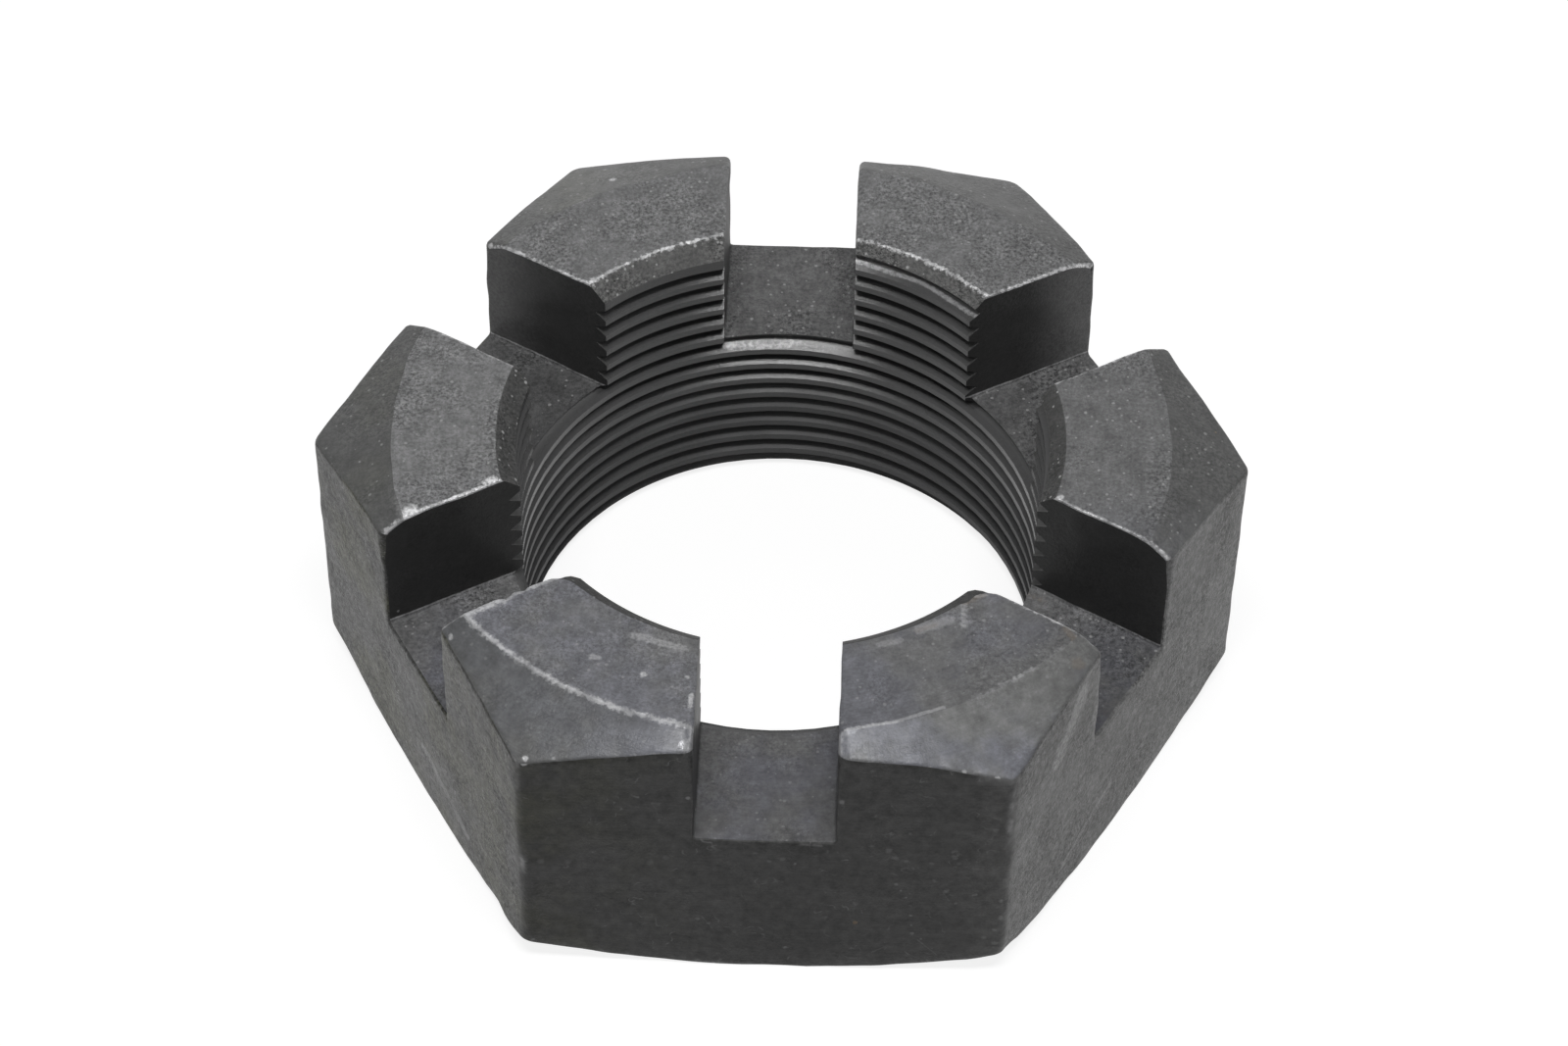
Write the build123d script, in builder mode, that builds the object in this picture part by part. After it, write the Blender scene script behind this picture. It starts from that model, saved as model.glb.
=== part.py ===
from build123d import *

import math
import os

# Hexagon, millimetres
wrench_size = 74.0
corner_radius = 1.2
nut_height = 31.0
flat_count = 6

# Conical chamfer on each end: the circle it leaves on the end face, and its slope in degrees
crown_circle = 70.4
crown_chamfer_slope = 23.0
bearing_circle = 74.4
bearing_chamfer_slope = 25.0

# Slots for the locking pin, one in the middle of each flat
slot_width = 12.4
slot_depth = 12.8
slot_floor_radius = 0.8
slot_edge_chamfer = 0.4

# Metric fine thread; its groove stands at thread_start above the bearing face on the +X side
thread_major = 50.0
thread_minor = 48.1
thread_pitch = 2.0
thread_angle = 60.0
thread_start = 0.9

# Countersinks at the ends of the thread, each with the full angle of its cone in degrees
crown_mouth = 51.5
crown_mouth_angle = 60.0
bearing_mouth = 50.4
bearing_mouth_angle = 90.0

corner_reach = wrench_size / math.sqrt(3)
bore_radius = thread_minor / 2
slot_floor = nut_height - slot_depth
sector = 360 / flat_count


def cone_height(outer_radius, inner_radius, slope):
    """Height of a cone between two radii that rises at the given slope in degrees."""
    return (outer_radius - inner_radius) * math.tan(math.radians(slope))


def section_plane(angle):
    """Upright plane through the axis, turned about it by an angle in degrees."""
    return Plane.XZ.rotated((0, 0, angle))


def is_slot_wall(face):
    """Upright plane face whose normal points along a corner of the hexagon."""
    if face.geom_type != GeomType.PLANE:
        return False
    normal = face.normal_at()
    turned = math.degrees(math.atan2(normal.Y, normal.X)) % sector
    return abs(normal.Z) < 0.01 and min(turned, sector - turned) < 1


def is_mouth_edge(edge):
    """Upright edge where a slot wall meets a flat of the hexagon."""
    middle = edge @ 0.5
    return abs((edge % 0.5).Z) > 0.99 and math.hypot(middle.X, middle.Y) > thread_major / 2


with BuildPart() as thread_turn:
    # One turn of the groove between two threads. Its flanks are an eighth of the pitch apart at the
    # major diameter and run on to a sharp root; its mouth opens just inside the bore.
    flank = math.tan(math.radians(thread_angle / 2))
    root_radius = thread_major / 2 + thread_pitch / 16 / flank
    mouth_radius = bore_radius - thread_pitch / 5
    mouth_half = (root_radius - mouth_radius) * flank
    with BuildLine():
        Helix(pitch=thread_pitch, height=thread_pitch, radius=bore_radius)
    with BuildSketch(section_plane(0)):
        with BuildLine():
            Polyline(
                (mouth_radius, -mouth_half),
                (root_radius, 0),
                (mouth_radius, mouth_half),
                close=True,
            )
        make_face()
    sweep(is_frenet=True)

turn_count = math.ceil(nut_height / thread_pitch) + 2
turn_places = [Location((0, 0, thread_start + (turn - 1) * thread_pitch)) for turn in range(turn_count)]
grooves = [thread_turn.part.moved(place) for place in turn_places]

with BuildPart() as hub_nut:
    # Hexagonal blank with broken corners
    with BuildSketch(Plane.XY):
        RegularPolygon(radius=wrench_size / 2, side_count=flat_count, major_radius=False)
        fillet(vertices(), radius=corner_radius)
    extrude(amount=nut_height)

    # Turned envelope: its cones meet the flats in the curved chamfer edges
    crown_drop = cone_height(corner_reach, crown_circle / 2, crown_chamfer_slope)
    bearing_rise = cone_height(corner_reach, bearing_circle / 2, bearing_chamfer_slope)
    with BuildSketch(section_plane(0)):
        with BuildLine():
            Polyline(
                (0, 0),
                (bearing_circle / 2, 0),
                (corner_reach, bearing_rise),
                (corner_reach, nut_height - crown_drop),
                (crown_circle / 2, nut_height),
                (0, nut_height),
                close=True,
            )
        make_face()
    revolve(axis=Axis.Z, mode=Mode.INTERSECT)

    # Slots, each opposite pair milled straight across
    for index in range(flat_count // 2):
        with BuildSketch(section_plane(index * sector)):
            with Locations((0, nut_height)):
                Rectangle(slot_width, 2 * slot_depth)
            fillet(vertices().group_by(Axis.Z)[0], radius=slot_floor_radius)
        extrude(amount=wrench_size, both=True, mode=Mode.SUBTRACT)

    # Broken edges round each slot's mouth in the flat and along the crown's top
    wall_edges = hub_nut.faces().filter_by(is_slot_wall).edges()
    top_edges = wall_edges.group_by(Axis.Z)[-1]
    chamfer(wall_edges.filter_by(is_mouth_edge) + top_edges, length=slot_edge_chamfer)

    # Bore at the minor diameter, opened by a countersink at each end
    crown_sink = cone_height(crown_mouth / 2, bore_radius, 90 - crown_mouth_angle / 2)
    bearing_sink = cone_height(bearing_mouth / 2, bore_radius, 90 - bearing_mouth_angle / 2)
    with BuildSketch(section_plane(0)):
        with BuildLine():
            Polyline(
                (0, 0),
                (bearing_mouth / 2, 0),
                (bore_radius, bearing_sink),
                (bore_radius, nut_height - crown_sink),
                (crown_mouth / 2, nut_height),
                (0, nut_height),
                close=True,
            )
        make_face()
    revolve(axis=Axis.Z, mode=Mode.SUBTRACT)

    # Thread, cut one turn of the groove at a time
    for groove in grooves:
        add(groove, mode=Mode.SUBTRACT)

hub_nut.part.label = "hub_nut"
os.makedirs("parts", exist_ok=True)
export_step(hub_nut.part, "parts/hub_nut.step")
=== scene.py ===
"""A slotted hexagon hub nut in black-oxide steel, lying on its bearing face on a plain pale floor.

The nut's surface is worked out as grids of points in its own frame, in millimetres, and joined into one
closed mesh in metres. Upright cuts called columns run from the bore to the flats: they are parallel in a
slot, fan out across a crown, and every grid is a profile carried along them.
"""

import logging
import math
from dataclasses import dataclass, field
from enum import Enum

import bmesh
import bpy
import numpy as np
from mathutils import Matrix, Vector


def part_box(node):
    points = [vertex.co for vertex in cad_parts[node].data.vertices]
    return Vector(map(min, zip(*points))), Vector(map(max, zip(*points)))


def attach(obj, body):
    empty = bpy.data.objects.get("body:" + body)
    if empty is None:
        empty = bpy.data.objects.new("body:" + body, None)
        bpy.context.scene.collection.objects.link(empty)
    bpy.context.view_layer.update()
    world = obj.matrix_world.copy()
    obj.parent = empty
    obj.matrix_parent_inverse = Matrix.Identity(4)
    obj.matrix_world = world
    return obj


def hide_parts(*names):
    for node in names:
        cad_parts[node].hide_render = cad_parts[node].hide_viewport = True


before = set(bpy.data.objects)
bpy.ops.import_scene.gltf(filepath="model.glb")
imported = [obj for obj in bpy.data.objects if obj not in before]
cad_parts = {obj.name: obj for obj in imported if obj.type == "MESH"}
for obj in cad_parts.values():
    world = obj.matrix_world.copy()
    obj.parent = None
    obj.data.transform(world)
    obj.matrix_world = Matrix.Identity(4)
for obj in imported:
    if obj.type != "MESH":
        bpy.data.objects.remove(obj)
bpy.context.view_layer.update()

MM = 0.001
ORIGIN = (0.0, 0.0, 0.0)
FRONT = (0, -1, 0)
BACK = (0, 1, 0)
SIDEWAYS = (1, 0, 0)
LEFT_CROWN = (-1, 0, 0)
RIGHT_CROWN = (1, 0, 0)
FRONT_LEFT_CROWN = (-0.5, -0.87, 0)
FRONT_RIGHT_CROWN = (0.5, -0.87, 0)
BACK_RIGHT_CROWN = (0.5, 0.87, 0)
RIGHT_SLOT_END = (0.87, 0.5, 0)
LEFT_SLOT_END = (-0.87, 0.5, 0)
RIGHT_FLAT = (0.87, -0.5, 0)
LEFT_FLAT = (-0.87, -0.5, 0)
GLINT_SHIFT = (3.0, 77.0, 5.0)
RUST_SHIFT = (31.0, 7.0, 19.0)
FINE_SHIFT = (17.0, 5.0, 41.0)
SCRATCH_SHIFT = (9.0, 51.0, 3.0)
LOG = logging.getLogger("hub_nut")


class Finish(Enum):
    """Kinds of surface on the nut; each value is the number of its material on the mesh."""

    CROWN = 0
    CHAMFER = 1
    FLAT = 2
    SLOT_WALL = 3
    SLOT_FLOOR = 4
    THREAD = 5
    COUNTERSINK = 6
    BEARING = 7


@dataclass(frozen=True)
class NutSizes:
    """Sizes of the nut in millimetres and degrees. The overall ones are read from the frame.

    The worn upright edges are round by edge_round at the front slot and by edge_round_side at the others,
    and the slots' other edges by edge_round_inner. A thread's crest that a slot's floor cuts thinner than
    sliver has broken off, down to sliver_depth outside the bore.
    """

    height: float
    half_flats: float
    flats: int = 6
    corner_round: float = 1.2
    crown_circle: float = 35.2
    crown_slope: float = 23.0
    crown_softness: float = 0.05
    bearing_circle: float = 37.2
    bearing_slope: float = 25.0
    bearing_softness: float = 0.03
    slot_half: float = 6.2
    slot_floor: float = 18.2
    side_floor: float = 17.85
    floor_fillet: float = 0.3
    edge_round: float = 1.2
    edge_round_side: float = 0.55
    edge_round_inner: float = 0.24
    rim_round: float = 0.25
    bore: float = 24.05
    pitch: float = 2.0
    thread_angle: float = 60.0
    thread_start: float = 0.9
    thread_root_half: float = 0.06
    thread_apex: float = 1.1665
    crown_mouth: float = 25.75
    crown_mouth_angle: float = 90.0
    bearing_mouth: float = 25.2
    sliver: float = 0.3
    sliver_depth: float = 0.65
    sliver_clearance: float = 0.01
    thread_end: float = 1.6

    @classmethod
    def from_frame(cls) -> "NutSizes":
        """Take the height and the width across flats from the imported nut.

        Returns:
            NutSizes: the sizes, with the overall ones as the frame has them.
        """
        low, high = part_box("hub_nut")
        return cls(height=(high.z - low.z) / MM, half_flats=(high.y - low.y) / 2 / MM)

    @property
    def sector(self) -> float:
        """Angle from one flat to the next, in radians."""
        return 2 * math.pi / self.flats

    @property
    def mouth_lean(self) -> float:
        """Lean of the crown's countersink from the axis, in radians."""
        return math.radians(self.crown_mouth_angle / 2)

    @property
    def sink_foot(self) -> float:
        """Height at which the crown's countersink has narrowed to the bore."""
        return self.height - (self.crown_mouth - self.bore) / math.tan(self.mouth_lean)


def rounding(distance: np.ndarray, radius: float) -> np.ndarray:
    """Depth that a round edge takes off at a distance from it.

    A quarter circle: the radius, less the root of its square minus the square of what is left of it.

    Args:
        distance: distance from the edge, along the surface.
        radius: radius of the round edge.

    Returns:
        np.ndarray: depth, from the radius at the edge to nothing one radius away.
    """
    left = np.clip(radius - distance, 0, radius)
    return radius - np.sqrt(radius**2 - left**2)


def soft_step(value: np.ndarray, low: float, high: float) -> np.ndarray:
    """0 below low, 1 above high, and 3t^2 - 2t^3 between."""
    t = np.clip((value - low) / (high - low), 0, 1)
    return t * t * (3 - 2 * t)


def spread(start: np.ndarray, end: np.ndarray, rows: int) -> np.ndarray:
    """Rows of values in even steps from start to end."""
    return start + np.linspace(0, 1, rows)[:, None] * (end - start)


def shares_along(border: np.ndarray) -> np.ndarray:
    """How far each point of a border lies from its first point, at 0, towards its last, at 1."""
    whole = border[-1] - border[0]
    return (border - border[0]) @ whole / (whole @ whole)


def profile(rows: list) -> tuple:
    """The distances along the cuts and the heights of a list of pairs of them."""
    return tuple(np.array(values) for values in zip(*rows))


def bend(start: tuple, corner: tuple, end: tuple, steps: tuple = (0.25, 0.5, 0.75)) -> list:
    """Points of a round corner, as a quadratic curve pulled towards the corner.

    Each point is start, corner and end weighted by (1-u)^2, 2u(1-u) and u^2.

    Args:
        start: two coordinates where the curve leaves the first side, as numbers or arrays.
        corner: the sharp corner.
        end: where the curve meets the second side.
        steps: values of u to work out.

    Returns:
        list: one pair of coordinates for each step.
    """
    weights = [((1 - u) ** 2, 2 * u * (1 - u), u * u) for u in steps]
    return [tuple(a * s + b * c + d * e for s, c, e in zip(start, corner, end)) for a, b, d in weights]


@dataclass
class Columns:
    """Upright cuts through the nut, each a straight line in plan from the bore outwards.

    A line runs in direction turn and passes the axis at a distance offset to its left.
    """

    turn: np.ndarray
    offset: np.ndarray
    slot: np.ndarray
    gap: np.ndarray

    def __len__(self) -> int:
        """Number of cuts."""
        return len(self.turn)

    def values(self) -> tuple:
        """What is kept of the cuts: their turns, their offsets, which lie in a slot, and gaps from a wall."""
        return self.turn, self.offset, self.slot, self.gap

    def joined(self, other: "Columns") -> "Columns":
        """These cuts followed by the others."""
        return Columns(*(np.concatenate(pair) for pair in zip(self.values(), other.values())))

    def part(self, chosen: slice) -> "Columns":
        """Only the chosen cuts."""
        return Columns(*(values[chosen] for values in self.values()))

    def along(self, radius: np.ndarray) -> np.ndarray:
        """Distance along each line to a radius: the root of radius squared less offset squared."""
        return np.sqrt(np.maximum(radius**2 - self.offset**2, 0))

    def radius(self, along: np.ndarray) -> np.ndarray:
        """Radius at a distance along each line: the root of distance squared plus offset squared."""
        return np.hypot(along, self.offset)

    def place(self, along: np.ndarray, height: np.ndarray) -> np.ndarray:
        """Points at a distance along each line and a height.

        A point is the line's direction times the distance, plus its left normal times the offset.

        Args:
            along: distances, one row for each row of points.
            height: heights, of the same shape.

        Returns:
            np.ndarray: rows by cuts by three coordinates, in millimetres.
        """
        along, height = np.broadcast_arrays(along, height)
        cosine, sine = np.cos(self.turn), np.sin(self.turn)
        x = along * cosine - self.offset * sine
        y = along * sine + self.offset * cosine
        return np.stack((x, y, height), axis=-1)


@dataclass
class Grid:
    """Rows by columns of points, with the finish of each strip between two rows."""

    points: np.ndarray
    finishes: list

    @classmethod
    def plain(cls, points: np.ndarray, finish: Finish) -> "Grid":
        """A grid with one finish."""
        return cls(points, [finish] * (len(points) - 1))


@dataclass(frozen=True)
class Dent:
    """A small round dent or chip: its middle in millimetres, its reach, and how far it pushes the surface."""

    middle: tuple
    reach: float
    push: tuple

    @classmethod
    def table(cls, *rows: tuple) -> tuple:
        """Make dents from rows: three numbers of the middle, the reach, and three of the push."""
        return tuple(cls(row[:3], row[3], row[4:]) for row in rows)


@dataclass(frozen=True)
class ForgedSkin:
    """Unevenness of the forged sides: slow seeded waves, and dents. Bore and bearing face stay true."""

    depth: float = 0.05
    waves: int = 40
    shortest: float = 2.6
    longest: float = 11.0
    seed: int = 31
    draw_in: float = 1.42
    side_from: float = 26.2
    side_full: float = 28.0
    high_from: float = 1.5
    high_full: float = 5.0
    dents: tuple = Dent.table(
        (-23.3, -20.7, 31.0, 0.45, 0.12, -0.22, -0.32),
        (-21.9, -19.9, 31.0, 0.35, 0.08, -0.15, -0.22),
        (-28.0, -25.0, 30.0, 0.50, 0.14, 0.10, -0.20),
        (-17.8, -36.6, 28.7, 0.45, 0.0, 0.16, -0.14),
        (-12.6, -36.8, 29.6, 0.55, 0.0, 0.18, -0.16),
        (-10.2, -36.8, 29.9, 0.40, 0.0, 0.14, -0.12),
        (11.4, -36.8, 29.8, 0.50, 0.0, 0.16, -0.14),
        (14.3, -36.8, 29.2, 0.45, 0.0, 0.18, -0.16),
        (17.0, -36.7, 28.8, 0.40, 0.0, 0.14, -0.14),
        (17.0, -19.3, 31.0, 0.60, 0.0, -0.15, -0.20),
        (-18.54, -17.87, 31.0, 0.80, -0.16, -0.28, -0.25),
        (18.54, -17.87, 31.0, 0.90, 0.18, -0.32, -0.25),
        (-22.6, -34.9, 1.6, 2.20, -0.26, -0.12, 0.0),
        (21.6, -36.4, 1.2, 2.00, -0.34, 0.34, 0.0),
        (-3.0, -37.0, 18.0, 1.00, 0.0, 0.16, -0.22),
        (3.6, -37.0, 18.1, 0.80, 0.0, 0.12, -0.14),
    )

    def noise(self, points: np.ndarray) -> np.ndarray:
        """Three smooth noises from -1 to 1 over points, one for each axis.

        Each is the sum of sines of the point's products with seeded wave vectors, over the root of their
        number. A vector's length is a turn over a length between the shortest and the longest.

        Args:
            points: points by three coordinates, in millimetres.

        Returns:
            np.ndarray: points by three numbers.
        """
        draw = np.random.default_rng(self.seed)
        found = np.zeros_like(points)
        for axis in range(3):
            towards = draw.normal(size=(self.waves, 3))
            towards /= np.linalg.norm(towards, axis=1)[:, None]
            length = np.exp(draw.uniform(math.log(self.shortest), math.log(self.longest), self.waves))
            phase = draw.uniform(0, 2 * math.pi, self.waves)
            turns = points @ (towards * (2 * math.pi / length)[:, None]).T + phase
            found[:, axis] = np.clip(np.sin(turns).sum(axis=1) / math.sqrt(self.waves), -1, 1)
        return found

    def applied(self, points: np.ndarray) -> np.ndarray:
        """Points with the unevenness, none of them further out than before.

        The plan is first drawn in, and the height lowered, by the depth; the noise then moves each point by
        up to that much. Both fade out towards the bore, and the change of height towards the floor.

        Args:
            points: points by three coordinates, in millimetres.

        Returns:
            np.ndarray: the moved points.
        """
        radius = np.hypot(points[:, 0], points[:, 1])
        side = soft_step(radius, self.side_from, self.side_full)
        high = side * soft_step(points[:, 2], self.high_from, self.high_full)
        inward = points[:, :2] / np.maximum(radius, 1)[:, None]
        noise = self.noise(points)
        moved = points.copy()
        moved[:, :2] += self.depth * side[:, None] * (noise[:, :2] - self.draw_in * inward)
        moved[:, 2] += self.depth * high * (noise[:, 2] - 1)
        for dent in self.dents:
            away = np.linalg.norm(points - dent.middle, axis=1) / dent.reach
            moved += np.exp(-(away**2))[:, None] * np.array(dent.push)
        return moved


@dataclass
class NutSurface:
    """The nut's whole surface as grids that share their borders.

    Between two slots the cuts lie evenly up to fan_share of the whole fan, and then within corner_share
    of the corner. A tuck is how far from a sharp edge the surface starts to turn round it. A blend is
    the stretch over which one size grows into another: of the sine of a slot's turn for the floor's
    level, and of the radius and the height for the worn edges. Each of the circle's waves has its
    number in a turn, its height and its start in radians.
    """

    sizes: NutSizes
    slot_steps: int = 4
    edge_columns: int = 5
    fan_steps: int = 16
    corner_steps: int = 3
    top_rows: int = 20
    cone_rows: int = 7
    side_rows: int = 14
    face_rows: int = 9
    corner_share: float = 0.022
    fan_share: float = 0.47
    crown_tuck: float = 0.4
    bearing_tuck: float = 0.3
    inside_gap: float = 0.3
    outside_gap: float = 0.2
    foot_tolerance: float = 0.05
    circle_rows: tuple = (-0.5, -0.25, -0.08, 0.08, 0.25, 0.5)
    circle_waves: tuple = ((5, 0.07, 0.4), (11, 0.05, 2.1), (23, 0.04, 4.0), (41, 0.03, 1.3))
    front_sine: float = -0.99
    floor_blend: tuple = (0.6, 0.95)
    top_blend: tuple = (33.0, 37.0)
    mouth_blend: tuple = (25.5, 29.0)

    def edge_steps(self, width: float, count: int = 3) -> np.ndarray:
        """Distances from an edge that follow a quarter circle of that width in equal angles."""
        return width * (1 - np.cos(np.linspace(0, math.pi / 2, count + 1)))

    def outer_round(self, columns: Columns) -> np.ndarray:
        """Radius of the worn edge where a slot leaves the crown: widest on the front slot."""
        front = np.sin(columns.turn) < self.front_sine
        return np.where(front, self.sizes.edge_round, self.sizes.edge_round_side)

    def floor_level(self, columns: Columns) -> np.ndarray:
        """Level of the slot floors: a little lower on the four side ones than in front and behind.

        Args:
            columns: the cuts.

        Returns:
            np.ndarray: one height for each cut.
        """
        s = self.sizes
        share = soft_step(np.abs(np.sin(columns.turn)), *self.floor_blend)
        return s.side_floor + (s.slot_floor - s.side_floor) * share

    def foot(self, columns: Columns) -> np.ndarray:
        """Height at which a slot's floor fillet has become its wall."""
        return self.floor_level(columns) + self.sizes.floor_fillet

    def top_edge_round(self, columns: Columns, radius: np.ndarray) -> np.ndarray:
        """Radius of the round edge between a slot wall and the crown: small inside, wide at the flats."""
        inner = self.sizes.edge_round_inner
        return inner + (self.outer_round(columns) - inner) * soft_step(radius, *self.top_blend)

    def mouth_edge_round(self, columns: Columns, height: np.ndarray) -> np.ndarray:
        """Radius of the round edge between a slot wall and a flat: small below, wide at the crown."""
        inner = self.sizes.edge_round_inner
        return inner + (self.outer_round(columns) - inner) * soft_step(height, *self.mouth_blend)

    def slot_columns(self, slot: int) -> Columns:
        """Cuts across one slot, all parallel to it.

        Args:
            slot: the slot's number, counted round from the one before the +X corner.

        Returns:
            Columns: cuts from one wall to the other, closer together in the floor's fillets.
        """
        half = self.sizes.slot_half
        near_wall = half - self.edge_steps(self.sizes.floor_fillet)
        right = np.concatenate((np.linspace(0, near_wall[-1], self.slot_steps), near_wall[-2::-1]))
        offset = np.concatenate((-right[:0:-1], right))
        turn = np.full_like(offset, (slot - 0.5) * self.sizes.sector)
        return Columns(turn, offset, np.ones(len(offset), bool), np.zeros_like(offset))

    def crown_columns(self, slot: int) -> Columns:
        """Cuts across the crown that follows a slot.

        Close to each wall they are parallel to it. Between the walls the direction turns evenly by one
        sector while the offset falls evenly from one wall's to the other's.

        Args:
            slot: the number of the slot before the crown.

        Returns:
            Columns: cuts from the first wall to the second, closer at the walls and at the corner.
        """
        s = self.sizes
        steps = self.edge_steps(s.edge_round, self.edge_columns)
        corner = self.corner_share * np.linspace(1, 0, self.corner_steps + 1)
        half_fan = np.concatenate((np.linspace(0, self.fan_share, self.fan_steps)[1:], 0.5 - corner))
        fan = np.concatenate((half_fan, 1 - half_fan[-2::-1]))
        between = (s.slot_half + s.edge_round) * (1 - 2 * fan)
        offset = np.concatenate((s.slot_half + steps, between, -s.slot_half - steps[::-1]))
        share = np.concatenate((np.zeros(len(steps)), fan, np.ones(len(steps))))
        gap = np.concatenate((steps, np.full(len(fan), s.edge_round), steps[::-1]))
        turn = (slot - 0.5 + share) * s.sector
        return Columns(turn, offset, np.zeros(len(offset), bool), gap)

    def ring_columns(self) -> Columns:
        """Cuts all the way round: each slot and crown in turn, and the first cut once more, a turn later.

        Returns:
            Columns: the cuts, with each slot wall's cut taken once.
        """
        ring = self.slot_columns(0)
        for slot in range(self.sizes.flats):
            ring = ring.joined(self.crown_columns(slot).part(slice(1, -1)))
            ring = ring.joined(self.slot_columns(slot + 1))
        return ring.part(slice(0, len(ring) - len(self.slot_columns(0)) + 1))

    def outline(self, columns: Columns) -> np.ndarray:
        """Distance along each cut to the hexagon with its rounded corners.

        A cut meets a flat where distance * cos(t) - offset * sin(t) is half the width across flats, with t
        its direction from the flat's normal. Past the flat's tangent point it meets the corner's circle.

        Args:
            columns: the cuts.

        Returns:
            np.ndarray: one distance for each cut.
        """
        s = self.sizes
        local = columns.turn / s.sector + 0.5
        turn = (local - np.floor(local + 1e-9)) * s.sector
        offset = columns.offset
        reaches, shares = [], []
        for lean in (0.0, s.sector):
            reach = (s.half_flats + offset * np.sin(turn - lean)) / np.cos(turn - lean)
            reaches.append(reach)
            shares.append(np.abs(reach * np.sin(turn - lean) + offset * np.cos(turn - lean)))
        first = reaches[0] <= reaches[1]
        reach, share = np.where(first, *reaches), np.where(first, *shares)
        half_angle = s.sector / 2
        middle = (s.half_flats - s.corner_round) / math.cos(half_angle)
        across = offset - middle * np.sin(half_angle - turn)
        past_middle = np.sqrt(np.maximum(s.corner_round**2 - across**2, 0))
        round_reach = middle * np.cos(half_angle - turn) + past_middle
        tangent = (s.half_flats - s.corner_round) * math.tan(half_angle)
        return np.where(share > tangent, round_reach, reach)

    def crown_height(self, radius: np.ndarray, shift: np.ndarray | float = 0.0) -> np.ndarray:
        """Height of the crown at a radius: its flat top, falling to the cone over a soft edge.

        The drop is b * log(1 + exp(x / b)), with x how far the cone lies under the top and b the softness.

        Args:
            radius: distances from the axis.
            shift: how far the edge lies outside its circle.

        Returns:
            np.ndarray: heights.
        """
        s, soft = self.sizes, self.sizes.crown_softness
        fall = (radius - s.crown_circle - shift) * math.tan(math.radians(s.crown_slope))
        return s.height - soft * np.logaddexp(0, fall / soft)

    def bearing_height(self, radius: np.ndarray) -> np.ndarray:
        """Height of the bearing side at a radius, by the same soft edge as the crown's.

        Args:
            radius: distances from the axis.

        Returns:
            np.ndarray: heights.
        """
        s, soft = self.sizes, self.sizes.bearing_softness
        rise = (radius - s.bearing_circle) * math.tan(math.radians(s.bearing_slope))
        return soft * np.logaddexp(0, rise / soft)

    def floor_height(self, columns: Columns) -> np.ndarray:
        """Height of a slot's floor, which rises to its walls in a fillet."""
        s = self.sizes
        return self.floor_level(columns) + rounding(s.slot_half - np.abs(columns.offset), s.floor_fillet)

    def groove_phase(self, columns: Columns) -> np.ndarray:
        """Height of the thread's groove on each cut: it climbs one pitch in a turn.

        Args:
            columns: the cuts.

        Returns:
            np.ndarray: one height for each cut.
        """
        s = self.sizes
        angle = columns.turn + np.arcsin(columns.offset / s.bore)
        return s.thread_start + s.pitch * angle / (2 * math.pi)

    def bore_radius(self, columns: Columns, height: np.ndarray) -> np.ndarray:
        """Radius of the bore at a height: the thread's, or a countersink's where that is wider.

        The thread is a zigzag of the height above its groove, with a small flat at each root and crest. The
        groove ends in the back slot, a little under the crown, so that the countersink beyond is whole. In
        a slot, a crest that the floor leaves as a thin sliver has broken off.

        Args:
            columns: the cuts.
            height: heights, one row for each row of points.

        Returns:
            np.ndarray: radii, of the shape of height.
        """
        s = self.sizes
        phase = self.groove_phase(columns)
        level = (height - phase) / s.pitch + 0.5
        away = np.abs(level - np.floor(level) - 0.5) * s.pitch
        thread = np.interp(away, *self.thread_profile())
        groove = np.floor(level) * s.pitch + phase
        thread = np.where(groove > s.height - s.thread_end, s.bore, thread)
        floor = self.floor_level(columns)
        over = np.floor((floor - phase) / s.pitch) * s.pitch + phase
        left = floor - over - self.thread_profile()[0][2]
        off_walls = columns.slot & (np.abs(columns.offset) < s.slot_half - s.sliver_clearance)
        broken = off_walls & (left > 0) & (left < s.sliver) & (height > over)
        thread = np.where(broken, np.maximum(thread, s.bore + s.sliver_depth), thread)
        crown_sink = s.crown_mouth - (s.height - height) * math.tan(s.mouth_lean)
        return np.maximum(thread, np.maximum(crown_sink, s.bearing_mouth - height))

    def thread_profile(self) -> tuple:
        """Distances from a groove's middle where the thread's profile turns, and the radius at each.

        Returns:
            tuple: the distances, from the groove's middle to the crest's, and the radii.
        """
        s = self.sizes
        flank = math.tan(math.radians(s.thread_angle / 2))
        apex = s.bore + s.thread_apex
        root = apex - s.thread_root_half / flank
        away = (0.0, s.thread_root_half, (apex - s.bore) * flank, s.pitch / 2)
        return away, (root, root, s.bore, s.bore)

    def bore_levels(self, columns: Columns, low: np.ndarray, high: np.ndarray) -> np.ndarray:
        """Heights of rows that follow the thread's edges round the bore.

        Each row is a groove's middle plus one distance of the profile, held between low and high, and one
        more lies at the countersink's foot. Rows that are held at one limit on every cut are left out.

        Args:
            columns: the cuts.
            low: lowest height on each cut.
            high: highest height on each cut.

        Returns:
            np.ndarray: rows by cuts of heights, from low to high.
        """
        s = self.sizes
        phase = self.groove_phase(columns)
        first = math.floor((low.min() - phase.max()) / s.pitch) - 1
        last = math.ceil((high.max() - phase.min()) / s.pitch) + 1
        turns = np.arange(first, last + 1)
        _, root_half, crest, _ = self.thread_profile()[0]
        steps = np.array((-crest, -root_half, root_half, crest))
        rises = (turns[:, None] * s.pitch + steps).ravel()
        levels = np.concatenate((phase + rises[:, None], np.full((1, len(columns)), s.sink_foot)))
        levels.sort(axis=0)
        inside = ((levels > low) & (levels < high)).any(axis=1)
        held = np.clip(levels[inside], low, high)
        return np.concatenate((low[None], held, high[None]))

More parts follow.
